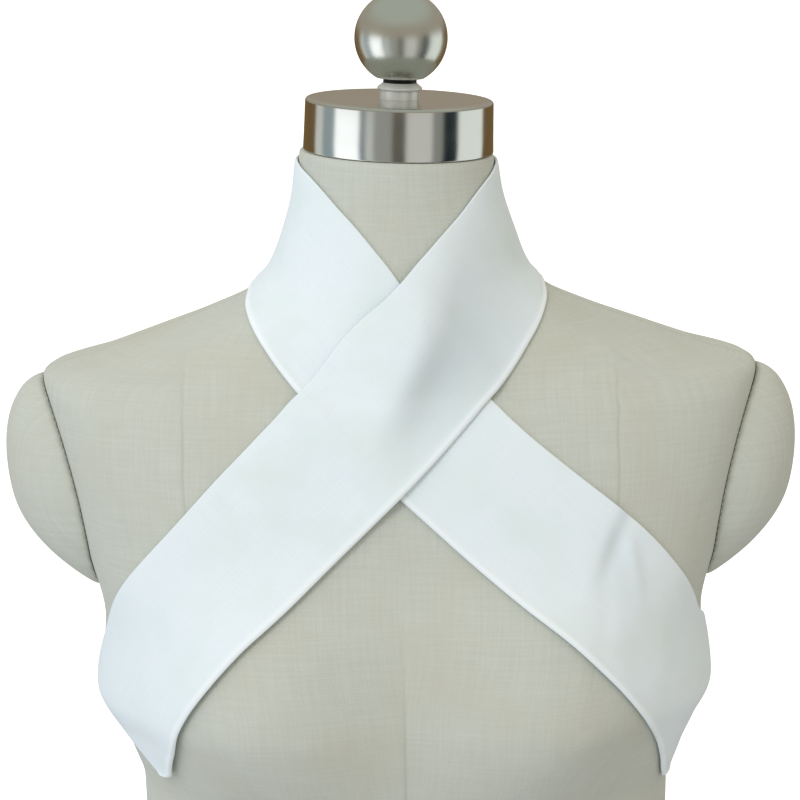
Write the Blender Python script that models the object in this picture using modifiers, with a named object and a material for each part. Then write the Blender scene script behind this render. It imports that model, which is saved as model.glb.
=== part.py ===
"""A detachable cross-over collar, laid on a limbless dress form with a steel neck cap and ball.

The collar is a straight band of doubled cotton. It goes round the back of the neck, crosses in
front and ends in square cuts at the sides of the bust. The wearer's left half lies on top.

World frame: metres, +Z up, the front faces -Y, the wearer's left is +X. The origin is under the
middle of the whole, on the surface that the form stands on. Tables and named sizes are
millimetres and degrees, and shapes are worked out round the form's own upright axis, which
passes through the neck. An angle on the form is measured round that axis from the front,
positive towards +X.
"""

import math
from collections import namedtuple

import bpy
import bmesh
import numpy as np
from mathutils import Vector

MM = 0.001
GAP = 0.3
# the form's own axis lies this far behind the middle of the whole
AXIS_BACK = 11.34

# Dress form
Section = namedtuple("Section", "height half_width front back fullness")
# fullness is the exponent of the superellipse: 2 is an ellipse, higher is squarer
FORM_SECTIONS = (
    Section(0, 168, 98, 112, 2.3),
    Section(30, 172, 100, 114, 2.3),
    Section(120, 152, 92, 100, 2.2),
    Section(205, 130, 84, 76, 2.1),
    Section(260, 146, 92, 76, 2.2),
    Section(296, 153, 100, 80, 2.3),
    Section(318, 153.5, 105, 84, 2.3),
    Section(340, 159.5, 112, 88, 2.4),
    Section(358, 167.5, 116, 90, 2.4),
    Section(378, 176, 118, 92, 2.5),
    Section(420, 172, 116, 96, 2.7),
    Section(460, 180, 106, 99, 3.1),
    Section(510, 191, 95, 101, 3.3),
    Section(545, 200, 84, 97, 3.0),
    Section(557, 203, 78, 92, 2.6),
    Section(568, 172, 74, 88, 2.3),
    Section(579, 142, 71, 85, 2.1),
    Section(590, 112, 68, 80, 2.0),
    Section(601, 87, 65, 75, 2.0),
    Section(615, 71, 62, 69, 2.0),
    Section(635, 63, 58, 62, 2.0),
    Section(660, 56.5, 55, 56, 2.0),
    Section(684, 54, 54, 54, 2.0),
)
NECK_TOP = 680.0
BUST_HEIGHT = 378.0
BUST_ANGLE = 33.0
BUST_SPREAD = 20.0
BUST_ABOVE = 62.0
BUST_BELOW = 48.0
BUST_RISE = 27.0
FORM_SEGMENTS = 40
FORM_RING_STEP = 20.0
FORM_RING_MIN = 3.5

# Padded arm caps
ARM_CAP_HEIGHT = 493.5
ARM_CAP_HALF_HEIGHT = 62.0
ARM_CAP_HALF_DEPTH = 52.0
ARM_CAP_RISE = 36.5
ARM_CAP_LOWER_SLIMMING = 0.6
ARM_CAP_LEAN = 0.15
ARM_CAP_CLEARANCE = 1.1
ARM_CAP_SEGMENTS = 24
ARM_CAP_RINGS = 12

# Steel neck cap and finial, measured along their own axis above the neck
STEEL_TILT = 2.3
STEEL_SHIFT = 1.2
CAP_RADIUS = 53.6
CAP_TOP_RADIUS = 52.9
CAP_HEIGHT = 29.0
CAP_ROUNDING = 1.8
STEM_RADIUS = 11.0
STEM_HEIGHT = 5.0
KNUCKLE_RADIUS = 12.6
KNUCKLE_TOP_RADIUS = 9.8
KNUCKLE_HEIGHT = 4.4
KNUCKLE_CHAMFER = 0.8
WASHER_RADIUS = 9.4
WASHER_HEIGHT = 2.4
BALL_RADIUS = 26.1
BALL_CENTRE = 34.1
TURNED_STEPS = 40
BALL_STEPS = 16

# Collar
BAND_WALL = 2.0
BAND_CLEARANCE = 0.95
BAND_STEP = 9.0
BAND_COLUMNS = 10
EDGE_THINNING = 0.5
RoutePoint = namedtuple("RoutePoint", "angle over over_width under under_width")
# height of each half's centreline and its width there; the band draws in a little round the
# neck, where it is pulled taut; angles are positive on the half's own side of the neck
BAND_ROUTE = (
    RoutePoint(180, 636, 82, 636, 82),
    RoutePoint(155, 636, 82, 636, 82),
    RoutePoint(120, 637, 80, 637, 82),
    RoutePoint(95, 637, 77, 637, 82),
    RoutePoint(76, 633, 75, 634, 82),
    RoutePoint(55, 620, 74, 621, 82),
    RoutePoint(35, 602, 76, 602, 82),
    RoutePoint(18, 581, 79, 580, 81),
    RoutePoint(0, 559, 82, 555, 80),
    RoutePoint(-12, 540, 80, 534, 74.5),
    RoutePoint(-24, 518, 79, 512, 73),
    RoutePoint(-35, 491, 78, 488, 74.5),
    RoutePoint(-45, 456, 78, 460, 77),
    RoutePoint(-54, 421, 83.5, 427.5, 77.5),
    RoutePoint(-63, 389, 90, 399, 77.5),
    RoutePoint(-72, 361, 93, 379, 87),
    RoutePoint(-80, 338, 93, 363, 92),
    RoutePoint(-92, 308, 94, 343, 93),
)
ROUTE_SAMPLES = 1200
Half = namedtuple("Half", "name side end slant")
# side is +1 where the half lies on the wearer's left of the neck; end is its last angle; slant
# is how far the end cut leans, so that the upper corner reaches further than the lower one
OVER = Half("over", 1, -72.6, 0.12)
UNDER = Half("under", -1, -84.5, -0.08)
SLANT_LENGTH = 90.0
SLANT_REACH = 5.0
Crease = namedtuple("Crease", "half along across length width turn rise fall", defaults=(0,))
# soft ridges: place along and across the half, size, turn from the band's run, and height;
# fall is the width of the lower side where it is not the same
CREASES = (
    Crease("under", 392, 15, 60, 13, -57, 1.6),
    Crease("under", 360, 22, 52, 24, -75, 1.0),
    Crease("under", 190, 12, 46, 16, -42, 1.0),
    Crease("under", 84, -14, 48, 18, 100, 1.2),
    Crease("under", 38, 4, 54, 20, 82, 0.8),
    Crease("over", 219, 5, 92, 60, -30, 2.4, 26),
    Crease("over", 455, -12, 60, 20, -50, 1.0),
    Crease("over", 96, -10, 52, 18, 96, 1.2),
    Crease("over", 30, -6, 50, 16, 78, 0.9),
)
# the over half rides up on the under half where they cross
LIFT = BAND_WALL + 0.9
LIFT_MARGIN = 7.0
LIFT_EASE = 22.0

Finish = namedtuple("Finish", "colour roughness metallic")
LINEN = Finish((0.57, 0.58, 0.52, 1.0), 0.9, 0.0)
COTTON = Finish((0.80, 0.83, 0.86, 1.0), 0.85, 0.0)
BRUSHED_STEEL = Finish((0.62, 0.60, 0.57, 1.0), 0.3, 1.0)
POLISHED_STEEL = Finish((0.70, 0.69, 0.66, 1.0), 0.15, 1.0)


def clear_scene():
    """Remove whatever the open file holds."""
    for obj in list(bpy.data.objects):
        bpy.data.objects.remove(obj, do_unlink=True)


def new_collection(name):
    """Add a collection to the scene."""
    collection = bpy.data.collections.new(name)
    bpy.context.scene.collection.children.link(collection)
    return collection


def make_material(name, finish):
    """A Principled material of one finish."""
    material = bpy.data.materials.new(name)
    material.use_nodes = True
    shader = material.node_tree.nodes["Principled BSDF"]
    shader.inputs["Base Color"].default_value = finish.colour
    shader.inputs["Roughness"].default_value = finish.roughness
    shader.inputs["Metallic"].default_value = finish.metallic
    return material


class SmoothColumn:
    """A value over a rising argument, joined by a cubic that never overshoots its rows."""

    def __init__(self, at, values):
        self.at = np.array(at, float)
        self.values = np.array(values, float)
        widths = np.diff(self.at)
        rises = np.diff(self.values) / widths
        self.slopes = np.zeros(len(self.at))
        self.slopes[0] = rises[0]
        self.slopes[-1] = rises[-1]
        for i in range(1, len(self.at) - 1):
            before, after = rises[i - 1], rises[i]
            if before * after > 0:
                weight_before = 2 * widths[i] + widths[i - 1]
                weight_after = widths[i] + 2 * widths[i - 1]
                total = weight_before + weight_after
                self.slopes[i] = total / (weight_before / before + weight_after / after)

    def __call__(self, x):
        x = np.clip(x, self.at[0], self.at[-1])
        i = np.clip(np.searchsorted(self.at, x) - 1, 0, len(self.at) - 2)
        width = self.at[i + 1] - self.at[i]
        t = (x - self.at[i]) / width
        return (
            (2 * t**3 - 3 * t**2 + 1) * self.values[i]
            + (t**3 - 2 * t**2 + t) * width * self.slopes[i]
            + (3 * t**2 - 2 * t**3) * self.values[i + 1]
            + (t**3 - t**2) * width * self.slopes[i + 1]
        )


FORM = {
    name: SmoothColumn([s.height for s in FORM_SECTIONS], [getattr(s, name) for s in FORM_SECTIONS])
    for name in ("half_width", "front", "back", "fullness")
}


def form_radius(angle, height):
    """Distance of the form's surface from its axis, at an angle in radians and a height."""
    depth = np.where(np.cos(angle) > 0, FORM["front"](height), FORM["back"](height))
    power = FORM["fullness"](height)
    across = (np.abs(np.sin(angle)) / FORM["half_width"](height)) ** power
    along = (np.abs(np.cos(angle)) / depth) ** power
    turned = np.degrees(np.abs(np.arctan2(np.sin(angle), np.cos(angle))))
    sideways = (turned - BUST_ANGLE) / BUST_SPREAD
    reach = np.where(height > BUST_HEIGHT, BUST_ABOVE, BUST_BELOW)
    upward = (height - BUST_HEIGHT) / reach
    return (across + along) ** (-1 / power) + BUST_RISE * np.exp(-(sideways**2) - upward**2)


def on_form(angle, height):
    """Point of the form's surface at an angle in radians and a height."""
    radius = form_radius(angle, height)
    return np.stack([radius * np.sin(angle), -radius * np.cos(angle), height + 0 * radius], -1)


def outside_by(points):
    """How far points lie outside the form, measured away from its axis."""
    angle = np.arctan2(points[..., 0], -points[..., 1])
    return np.hypot(points[..., 0], points[..., 1]) - form_radius(angle, points[..., 2])


def form_slope(points, reach=0.5):
    """Gradient of outside_by, which points straight out of the surface."""
    parts = []
    for axis in np.eye(3):
        parts.append((outside_by(points + reach * axis) - outside_by(points - reach * axis)) / (2 * reach))
    return np.stack(parts, -1)


def form_normal(points):
    """Unit direction out of the form."""
    slope = form_slope(points)
    return slope / np.linalg.norm(slope, axis=-1, keepdims=True)


def settle(points, height):
    """Move points along the form's normals until they stand at that height over its surface."""
    height = np.broadcast_to(height, points.shape[:-1])[..., None]
    for _ in range(5):
        slope = form_slope(points)
        steepness = np.linalg.norm(slope, axis=-1, keepdims=True)
        over = outside_by(points)[..., None] / steepness
        points = points - slope / steepness * (over - height)
    return points


def smoothstep(t):
    """0 below 0, 1 above 1, with an even ease between."""
    t = np.clip(t, 0, 1)
    return t * t * (3 - 2 * t)


def add_empty(name, collection, location, parent=None, turn=(0, 0, 0)):
    """An empty that carries other objects; location in mm, turn in degrees."""
    empty = bpy.data.objects.new(name, None)
    empty.location = Vector(location) * MM
    empty.rotation_euler = [math.radians(angle) for angle in turn]
    empty.parent = parent
    collection.objects.link(empty)
    return empty


def add_object(name, mesh, material, parent):
    """Wrap a mesh in an object with its material, carried by an empty."""
    mesh.materials.append(material)
    obj = bpy.data.objects.new(name, mesh)
    obj.parent = parent
    parent.users_collection[0].objects.link(obj)
    return obj


def ring_loft(name, rings):
    """Closed mesh through rings of points (mm), capped flat at both ends."""
    bm = bmesh.new()
    rows = [[bm.verts.new(Vector(point) * MM) for point in ring] for ring in rings]
    for lower, upper in zip(rows, rows[1:]):
        for i in range(len(lower)):
            j = (i + 1) % len(lower)
            bm.faces.new((lower[i], lower[j], upper[j], upper[i]))
    for face in (bm.faces.new(list(reversed(rows[0]))), bm.faces.new(rows[-1])):
        bmesh.ops.poke(bm, faces=[face])
    bmesh.ops.recalc_face_normals(bm, faces=bm.faces)
    mesh = bpy.data.meshes.new(name)
    bm.to_mesh(mesh)
    bm.free()
    mesh.shade_smooth()
    mesh.set_sharp_from_angle(angle=math.radians(50))
    return mesh


def ring_heights():
    """Heights of the form's rings, close together where its side slopes most."""
    heights = [0.0]
    while heights[-1] < NECK_TOP:
        here = heights[-1]
        slope = FORM["half_width"](here + 1.5) - FORM["half_width"](here - 1.5)
        step = FORM_RING_STEP / math.hypot(1.0, slope / 1.2)
        heights.append(here + max(step, FORM_RING_MIN))
    over = heights[-1] - NECK_TOP
    return [height - over * height / heights[-1] for height in heights]


def form_ring(height, tilt=0.0):
    """One ring of the form; tilt lowers its +X side, in degrees."""
    turn = np.linspace(0, 2 * np.pi, FORM_SEGMENTS, endpoint=False)
    depth = np.where(np.cos(turn) > 0, FORM["front"](height), FORM["back"](height))
    angle = np.arctan2(FORM["half_width"](height) * np.sin(turn), depth * np.cos(turn))
    heights = height - math.tan(math.radians(tilt)) * form_radius(angle, height) * np.sin(angle)
    return on_form(angle, heights)


def build_form(material, axis):
    """Torso and neck, closed flat underneath and at the neck's top."""
    heights = ring_heights()
    rings = [form_ring(height) for height in heights[:-1]]
    rings.append(form_ring(NECK_TOP, STEEL_TILT))
    return add_object("form_body", ring_loft("form_body", rings), material, axis)


def build_arm_cap(name, side, material, axis):
    """Padded cap over one armhole: a dome whose inner face follows the form."""
    bm = bmesh.new()
    bmesh.ops.create_uvsphere(bm, u_segments=ARM_CAP_SEGMENTS, v_segments=ARM_CAP_RINGS, radius=1.0)
    ball = np.array([vert.co[:] for vert in bm.verts])
    foot = np.stack(
        [
            side * FORM["half_width"](ARM_CAP_HEIGHT + ARM_CAP_HALF_HEIGHT * ball[:, 1]),
            ARM_CAP_HALF_DEPTH * ball[:, 0],
            ARM_CAP_HEIGHT + ARM_CAP_HALF_HEIGHT * ball[:, 1],
        ],
        -1,
    )
    foot = settle(foot, ARM_CAP_CLEARANCE)
    slimming = 1 - ARM_CAP_LOWER_SLIMMING * np.clip(ball[:, 1], None, 0) ** 2
    rise = ARM_CAP_RISE * np.clip(ball[:, 2], 0, None) * slimming
    outward = np.array([side, 0.0, -ARM_CAP_LEAN])
    points = foot + rise[:, None] * outward / np.linalg.norm(outward)
    for vert, point in zip(bm.verts, points):
        vert.co = Vector(point) * MM
    if side < 0:
        bmesh.ops.reverse_faces(bm, faces=bm.faces)
    mesh = bpy.data.meshes.new(name)
    bm.to_mesh(mesh)
    bm.free()
    mesh.shade_smooth()
    return add_object(name, mesh, material, axis)


def build_turned(name, profile, material, parent):
    """Solid of revolution from (radius, height) points, bottom first, both ends on the axis."""
    bm = bmesh.new()
    verts = [bm.verts.new((radius * MM, 0, height * MM)) for radius, height in reversed(profile)]
    for upper, lower in zip(verts, verts[1:]):
        bm.edges.new((upper, lower))
    mesh = bpy.data.meshes.new(name)
    bm.to_mesh(mesh)
    bm.free()
    obj = add_object(name, mesh, material, parent)
    screw = obj.modifiers.new("Turn", "SCREW")
    screw.steps = TURNED_STEPS
    screw.render_steps = TURNED_STEPS
    screw.use_merge_vertices = True
    screw.merge_threshold = 0.00001
    screw.use_smooth_shade = True
    return obj


def arc(centre, radius, start, stop, steps):
    """Points of an arc in the profile plane, angles in degrees from +X towards +Z."""
    angles = [math.radians(start + (stop - start) * i / steps) for i in range(steps + 1)]
    return [(centre[0] + radius * math.cos(a), centre[1] + radius * math.sin(a)) for a in angles]


def neck_cap_profile():
    """Slightly tapered steel cap with a rounded top edge."""
    corner = (CAP_TOP_RADIUS - CAP_ROUNDING, CAP_HEIGHT - CAP_ROUNDING)
    return [(0, 0), (CAP_RADIUS, 0)] + arc(corner, CAP_ROUNDING, 0, 90, 5) + [(0, CAP_HEIGHT)]


def finial_stem_profile():
    """Stem, coned knuckle and the washer under the ball, above the cap's top."""
    bottom = CAP_HEIGHT + GAP
    knuckle = CAP_HEIGHT + STEM_HEIGHT
    washer = knuckle + KNUCKLE_HEIGHT
    top = washer + WASHER_HEIGHT - GAP
    return [
        (0, bottom),
        (STEM_RADIUS, bottom),
        (STEM_RADIUS, knuckle),
        (KNUCKLE_RADIUS, knuckle + KNUCKLE_CHAMFER),
        (KNUCKLE_TOP_RADIUS, washer),
        (WASHER_RADIUS, washer),
        (WASHER_RADIUS, top),
        (0, top),
    ]


def finial_ball_profile():
    """Ball with a small flat where it sits on the washer."""
    flat = CAP_HEIGHT + STEM_HEIGHT + KNUCKLE_HEIGHT + WASHER_HEIGHT
    centre = CAP_HEIGHT + BALL_CENTRE
    start = math.degrees(math.asin((flat - centre) / BALL_RADIUS))
    points = arc((0, centre), BALL_RADIUS, start, 90, BALL_STEPS)
    return [(0, flat)] + points[:-1] + [(0, centre + BALL_RADIUS)]


def band_route(half, extra=0.0):
    """Dense centreline of one half on the form and its half-widths; extra degrees go past its end."""
    rows = sorted(BAND_ROUTE)
    angles = [row.angle for row in rows]
    height = SmoothColumn(angles, [getattr(row, half.name) for row in rows])
    width = SmoothColumn(angles, [getattr(row, half.name + "_width") for row in rows])
    angle = np.linspace(rows[-1].angle, half.end - extra, ROUTE_SAMPLES)
    return on_form(half.side * np.radians(angle), height(angle)), width(angle) / 2


def along_route(at, lengths, values):
    """Values of a route read at given lengths along it."""
    return np.stack([np.interp(at, lengths, column) for column in values.T], -1)


def stations(half):
    """Even stations for each column of one half: lengths, offsets, places and directions."""
    route, half_widths = band_route(half, SLANT_REACH)
    lengths = np.concatenate([[0], np.cumsum(np.linalg.norm(np.diff(route, axis=0), axis=1))])
    whole, _ = band_route(half)
    length = np.linalg.norm(np.diff(whole, axis=0), axis=1).sum()
    count = round(length / BAND_STEP)
    at = np.linspace(GAP / 2, length, count + 1)
    half_widths = np.interp(at, lengths, half_widths)
    columns = []
    for share in np.linspace(-1, 1, BAND_COLUMNS + 1):
        offset = share * half_widths
        eased = smoothstep((at - at[-1] + SLANT_LENGTH) / SLANT_LENGTH)
        slid = at + half.slant * offset * eased
        ahead = along_route(slid + BAND_STEP / 2, lengths, route)
        behind = along_route(slid - BAND_STEP / 2, lengths, route)
        run = ahead - behind
        run /= np.linalg.norm(run, axis=1, keepdims=True)
        columns.append((slid, offset, along_route(slid, lengths, route), run))
    return columns


def walk_across(places, directions, side, distance, steps=8):
    """Walk square to the route over the form's surface; positive distances go up the neck."""
    across = side * np.cross(directions, form_normal(places))
    across /= np.linalg.norm(across, axis=1, keepdims=True)
    points = places
    for _ in range(steps):
        points = settle(points + across * distance[:, None] / steps, 0.0)
        normals = form_normal(points)
        across = across - normals * (across * normals).sum(1, keepdims=True)
        across /= np.linalg.norm(across, axis=1, keepdims=True)
    return points


def band_surface(half):
    """Grid of points of one half on the form (stations by columns), with lengths and offsets."""
    columns = stations(half)
    points = [walk_across(places, run, half.side, offset) for _, offset, places, run in columns]
    at = np.stack([column[0] for column in columns], 1)
    return np.stack(points, 1), at, np.stack([column[1] for column in columns], 1)


def crossing_lift(points):
    """Extra height of the over half where it passes over the under half."""
    route, half_widths = band_route(UNDER)
    distances = np.linalg.norm(points[..., None, :] - route[::6], axis=-1) - half_widths[::6]
    return LIFT * smoothstep((LIFT_MARGIN + LIFT_EASE - distances.min(-1)) / LIFT_EASE)


def crease_rise(half, at, offsets):
    """Height that the soft creases of one half add at lengths and offsets along it."""
    rise = 0 * offsets
    for crease in CREASES:
        if crease.half == half.name:
            turn = math.radians(crease.turn)
            right, up = at - crease.along, offsets - crease.across
            run = (right * math.cos(turn) + up * math.sin(turn)) / (crease.length / 2)
            side = up * math.cos(turn) - right * math.sin(turn)
            width = np.where(side < 0, crease.fall or crease.width, crease.width)
            rise = rise + crease.rise * np.exp(-(run**2) - (2 * side / width) ** 2)
    return rise


def build_band(name, half, material, axis):
    """One half of the collar: an open sheet on the form, given its wall by Solidify."""
    surface, at, offsets = band_surface(half)
    height = BAND_CLEARANCE + crease_rise(half, at, offsets)
    if half is OVER:
        height = height + crossing_lift(surface)
    points = settle(surface, height)
    rows, columns = points.shape[:2]
    bm = bmesh.new()
    bmesh.ops.create_grid(bm, x_segments=columns - 1, y_segments=rows - 1, size=0.5)
    order = sorted(bm.verts, key=lambda vert: (round(vert.co.y, 6), vert.co.x))
    for vert, point in zip(order, points.reshape(-1, 3)):
        vert.co = Vector(point) * MM
    bm.normal_update()
    middle = order[len(order) // 2]
    out = form_normal(points[rows // 2, columns // 2][None])[0]
    if middle.normal.dot(Vector(out)) < 0:
        bmesh.ops.reverse_faces(bm, faces=bm.faces)
    mesh = bpy.data.meshes.new(name)
    rims = [vert.index for vert in bm.verts if vert.is_boundary]
    bm.to_mesh(mesh)
    bm.free()
    mesh.shade_smooth()
    obj = add_object(name, mesh, material, axis)
    full = obj.vertex_groups.new(name="full_wall")
    full.add(range(len(mesh.vertices)), 1.0, "REPLACE")
    full.add(rims, EDGE_THINNING, "REPLACE")
    wall = obj.modifiers.new("Wall", "SOLIDIFY")
    wall.thickness = BAND_WALL * MM
    wall.offset = 1.0
    wall.vertex_group = full.name
    return obj


def main():
    """Build every piece in the order a maker would fit them."""
    clear_scene()
    collection = new_collection("cross_over_collar_on_form")
    linen = make_material("linen_cover", LINEN)
    cotton = make_material("white_cotton", COTTON)
    brushed = make_material("brushed_steel", BRUSHED_STEEL)
    polished = make_material("polished_steel", POLISHED_STEEL)

    axis = add_empty("neck_axis", collection, (0, AXIS_BACK, 0))
    build_form(linen, axis)
    build_arm_cap("arm_cap_left", 1, linen, axis)
    build_arm_cap("arm_cap_right", -1, linen, axis)

    seat = add_empty("neck_seat", collection, (STEEL_SHIFT, 0, NECK_TOP + GAP), axis, (0, STEEL_TILT, 0))
    build_turned("neck_cap", neck_cap_profile(), brushed, seat)
    build_turned("finial_stem", finial_stem_profile(), brushed, seat)
    build_turned("finial_ball", finial_ball_profile(), polished, seat)

    build_band("collar_under", UNDER, cotton, axis)
    build_band("collar_over", OVER, cotton, axis)


main()
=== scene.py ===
"""Looks of a detachable cross-over collar, laid on a limbless dress form.

The collar is a straight band of doubled white cotton, sewn in two halves that meet at the centre
back. It goes round the neck, crosses in front and ends in square cuts at the sides of the bust.
The dress form is covered in linen, with padded arm caps, a steel neck cap and a steel ball.

Shapes are worked out in millimetres round the form's own upright axis, +Z up, the front facing
-Y and the wearer's left at +X, and are moved into the frame's metres at the end. An angle on the
form is measured round that axis from the front, positive towards +X.
"""

import logging
import math
from dataclasses import dataclass, field
from enum import Enum
from typing import Any, NamedTuple

import bmesh
import bpy
import numpy as np
from mathutils import Matrix, Vector
from mathutils.kdtree import KDTree


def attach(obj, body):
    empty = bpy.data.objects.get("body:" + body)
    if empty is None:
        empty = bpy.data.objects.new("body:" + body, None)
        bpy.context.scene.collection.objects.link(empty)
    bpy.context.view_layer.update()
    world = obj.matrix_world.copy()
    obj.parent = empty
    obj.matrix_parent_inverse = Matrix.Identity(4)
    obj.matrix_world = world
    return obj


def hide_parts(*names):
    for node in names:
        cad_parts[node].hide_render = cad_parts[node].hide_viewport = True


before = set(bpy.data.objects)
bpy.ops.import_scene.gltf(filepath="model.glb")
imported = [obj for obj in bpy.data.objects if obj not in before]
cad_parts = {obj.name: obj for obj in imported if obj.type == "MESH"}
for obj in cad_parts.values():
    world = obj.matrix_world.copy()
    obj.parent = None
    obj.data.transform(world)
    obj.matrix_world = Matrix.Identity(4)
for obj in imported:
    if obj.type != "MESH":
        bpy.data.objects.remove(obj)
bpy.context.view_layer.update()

LOG = logging.getLogger("collar_on_form")
MM = 0.001
BODY = "root"
# the form's own axis lies this far behind the middle of the whole
AXIS_BACK = 11.34
NECK_TOP = 680.0
# steel pieces and the neck's top edge stand a little out of level, lower on the wearer's left
STEEL_TILT = 2.3
STEEL_SHIFT = 1.2
GAP = 0.3
# metres between points of a turned piece that are taken as one
MERGE_DISTANCE = 0.000004


class Side(Enum):
    """A side of the wearer, by the sign of X there."""

    LEFT = 1
    RIGHT = -1


class Lay(Enum):
    """Which half of the collar lies on top where the halves cross."""

    OVER = "over"
    UNDER = "under"


def srgb(code: str) -> tuple[float, float, float, float]:
    """Turn an sRGB hex colour into the linear colour that a shader takes.

    Args:
        code: six hex digits after a hash.

    Returns:
        Linear red, green and blue, and an alpha of one.
    """
    channels = [int(code[i : i + 2], 16) / 255 for i in (1, 3, 5)]
    linear = [c / 12.92 if c <= 0.04045 else ((c + 0.055) / 1.055) ** 2.4 for c in channels]
    return (linear[0], linear[1], linear[2], 1.0)


def smoothstep(t: np.ndarray) -> np.ndarray:
    """Ease evenly from 0 below 0 to 1 above 1."""
    t = np.clip(t, 0, 1)
    return t * t * (3 - 2 * t)


def unit(vectors: np.ndarray) -> np.ndarray:
    """Scale vectors along the last axis to length one."""
    return vectors / np.linalg.norm(vectors, axis=-1, keepdims=True)


def to_world(points: np.ndarray) -> np.ndarray:
    """Move points from the form's own axis in mm to the frame in metres."""
    return (np.asarray(points, float) + [0.0, AXIS_BACK, 0.0]) * MM


# Shape of the form


class Section(NamedTuple):
    """One level of the form: sizes in mm and the exponent of its superellipse."""

    height: float
    half_width: float
    front: float
    back: float
    fullness: float


FORM_SECTIONS = (
    Section(0, 168, 98, 112, 2.3),
    Section(30, 172, 100, 114, 2.3),
    Section(120, 152, 92, 100, 2.2),
    Section(205, 130, 84, 76, 2.1),
    Section(260, 146, 92, 76, 2.2),
    Section(296, 153, 100, 80, 2.3),
    Section(318, 153.5, 105, 84, 2.3),
    Section(340, 159.5, 112, 88, 2.4),
    Section(358, 167.5, 116, 90, 2.4),
    Section(378, 176, 118, 92, 2.5),
    Section(420, 172, 116, 96, 2.7),
    Section(460, 180, 106, 99, 3.1),
    Section(510, 191, 95, 101, 3.3),
    Section(545, 200, 84, 97, 3.0),
    Section(557, 203, 78, 92, 2.6),
    Section(568, 172, 74, 88, 2.3),
    Section(579, 142, 71, 85, 2.1),
    Section(590, 112, 68, 80, 2.0),
    Section(601, 87, 65, 75, 2.0),
    Section(615, 71, 62, 69, 2.0),
    Section(635, 63, 58, 62, 2.0),
    Section(660, 56.5, 55, 56, 2.0),
    Section(684, 54, 54, 54, 2.0),
)


class SmoothColumn:
    """A value over a rising argument, joined by a cubic that never overshoots its rows."""

    def __init__(self, at: list[float], values: list[float]) -> None:
        """Fit the slopes.

        Args:
            at: rising arguments.
            values: the value at each of them.
        """
        self.at = np.array(at, float)
        self.values = np.array(values, float)
        widths = np.diff(self.at)
        rises = np.diff(self.values) / widths
        self.slopes = np.zeros(len(self.at))
        self.slopes[0] = rises[0]
        self.slopes[-1] = rises[-1]
        for i in range(1, len(self.at) - 1):
            before, after = rises[i - 1], rises[i]
            if before * after > 0:
                weight_before = 2 * widths[i] + widths[i - 1]
                weight_after = widths[i] + 2 * widths[i - 1]
                total = weight_before + weight_after
                self.slopes[i] = total / (weight_before / before + weight_after / after)

    def __call__(self, x: np.ndarray) -> np.ndarray:
        """Read the value at one argument or at an array of them.

        Args:
            x: one argument, or an array of them.

        Returns:
            The value at each.
        """
        x = np.clip(x, self.at[0], self.at[-1])
        i = np.clip(np.searchsorted(self.at, x) - 1, 0, len(self.at) - 2)
        width = self.at[i + 1] - self.at[i]
        t = (x - self.at[i]) / width
        return (
            (2 * t**3 - 3 * t**2 + 1) * self.values[i]
            + (t**3 - 2 * t**2 + t) * width * self.slopes[i]
            + (3 * t**2 - 2 * t**3) * self.values[i + 1]
            + (t**3 - t**2) * width * self.slopes[i + 1]
        )


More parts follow.
